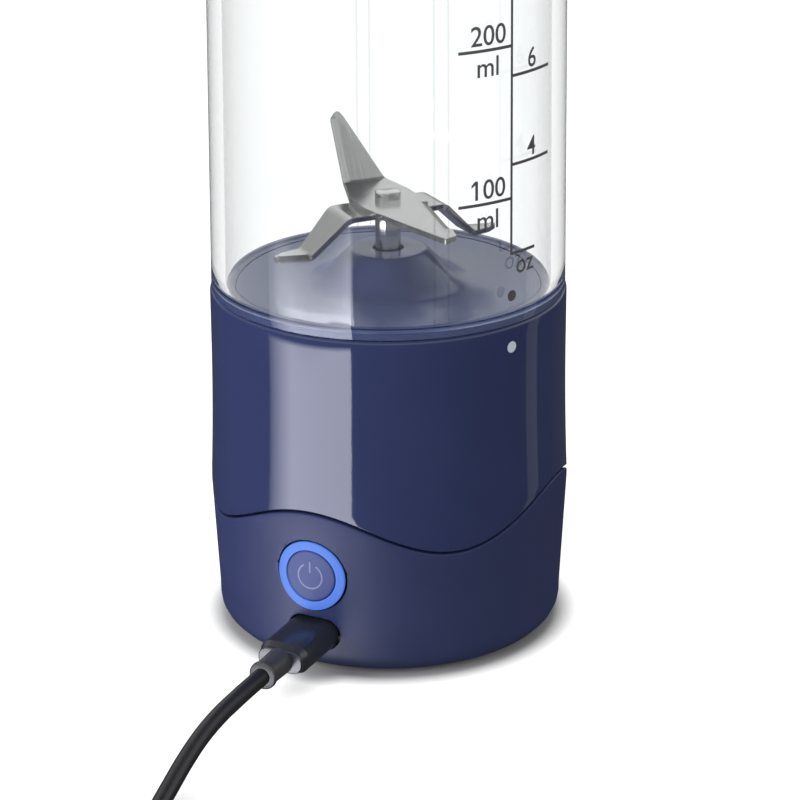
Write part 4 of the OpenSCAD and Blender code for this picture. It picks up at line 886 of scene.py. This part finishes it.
def panel(name, azimuth, distance, width, low, high, radiance, first=1.0, fade=0.001):
    """An upright lamp panel round the object; azimuth is counted from -Y towards +X, in degrees. Its
    left side starts at a share of its brightness, and it fades out over a share of its height."""
    lamp = bpy.data.lights.new(name, "AREA")
    lamp.shape, lamp.size, lamp.size_y = "RECTANGLE", width, high - low
    lamp.energy = radiance * math.pi * width * (high - low)
    lamp.use_nodes = True
    face = step(lamp.node_tree, "SeparateXYZ", {0: step(lamp.node_tree, "NewGeometry", {})["Parametric"]})
    left = step(lamp.node_tree, "MapRange", {0: face["X"], 1: 0, 2: 0.32, 3: first, 4: 1})[0]
    top = step(lamp.node_tree, "MapRange", {0: face["Y"], 1: 1 - fade, 2: 1, 3: 1, 4: 0})[0]
    lamp.node_tree.links.new(step(lamp.node_tree, "Math", {0: left, 1: top}, operation="MULTIPLY")[0],
                             lamp.node_tree.nodes["Emission"].inputs["Strength"])
    made = bpy.data.objects.new(name, lamp)
    out = Vector((math.sin(math.radians(azimuth)), -math.cos(math.radians(azimuth)), 0))
    made.matrix_world = (Matrix.Translation(out * distance + Vector((0, 0, (low + high) / 2)))
                         @ out.to_track_quat("Z", "Y").to_matrix().to_4x4())
    made.visible_camera = made.visible_transmission = False
    bpy.context.scene.collection.objects.link(made)
    return made


panel("window light", -35, 0.7, 0.7, 0, 0.7, 4).visible_glossy = False
panel("fill", 75, 0.8, 0.5, 0, 0.7, 0.7).visible_glossy = False
softbox = panel("softbox", -26.1, 0.527, 0.573, -0.5, -0.065, 6.8, 0.1, 0.12)
softbox.visible_diffuse, softbox.visible_transmission = False, True
softbox.data.color = (0.99, 1, 1.1)
panel("strip", 128, 0.6, 0.12, -0.5, 0.7, 0.3).visible_diffuse = False

world = bpy.data.worlds.new("room")
bpy.context.scene.world = world
world.use_nodes = True
tree = world.node_tree
rays = step(tree, "LightPath", {})
towards = step(tree, "SeparateXYZ", {0: step(tree, "TexCoord", {})["Generated"]})
through = step(tree, "MapRange", {0: rays["Transmission Depth"], 3: 0.05, 4: 0.25})[0]
below = step(tree, "MapRange", {0: towards["Z"], 1: 0.05, 2: 0.25, 3: through, 4: 1})[0]
above = step(tree, "MapRange", {0: towards["Z"], 1: 0.66, 2: 0.9, 3: 1, 4: 0.15})[0]
sideways = step(tree, "MapRange", {0: towards["X"], 1: -0.9, 2: -0.55, 3: 0.4, 4: 1})[0]
room = step(tree, "Math", {0: below, 1: above}, operation="MULTIPLY")[0]
room = step(tree, "Math", {0: room, 1: sideways}, operation="MULTIPLY")[0]
soft = step(tree, "Mix", {0: rays["Is Diffuse Ray"], 2: room, 3: 0.43})[0]
backdrop = step(tree, "MapRange", {0: rays["Is Transmission Ray"], 3: 1, 4: 1.2})[0]
tree.links.new(step(tree, "Mix", {0: straight(tree), 2: soft, 3: backdrop})[0],
               tree.nodes["Background"].inputs["Strength"])
tree.nodes["Background"].inputs["Color"].default_value = (1, 1, 1, 1)


# ---------- Camera ----------
# A long lens on a stand to the front right, a little above the rim and looking down at the base. Its
# place and turn are written as one matrix.
camera = bpy.data.objects.new("camera", bpy.data.cameras.new("camera"))
camera.data.lens, camera.data.sensor_width = 131.72, 36
camera.data.clip_start, camera.data.clip_end = 0.01, 20
camera.matrix_world = Matrix((
    (0.90396187, -0.15009023, 0.40040712, 0.24252615),
    (0.42759575, 0.32570254, -0.84325544, -0.50548978),
    (-0.00384921, 0.93348314, 0.35860062, 0.26133209),
    (0, 0, 0, 1)))
bpy.context.scene.collection.objects.link(camera)
bpy.context.scene.camera = camera
bpy.context.scene.view_settings.view_transform = "Standard"
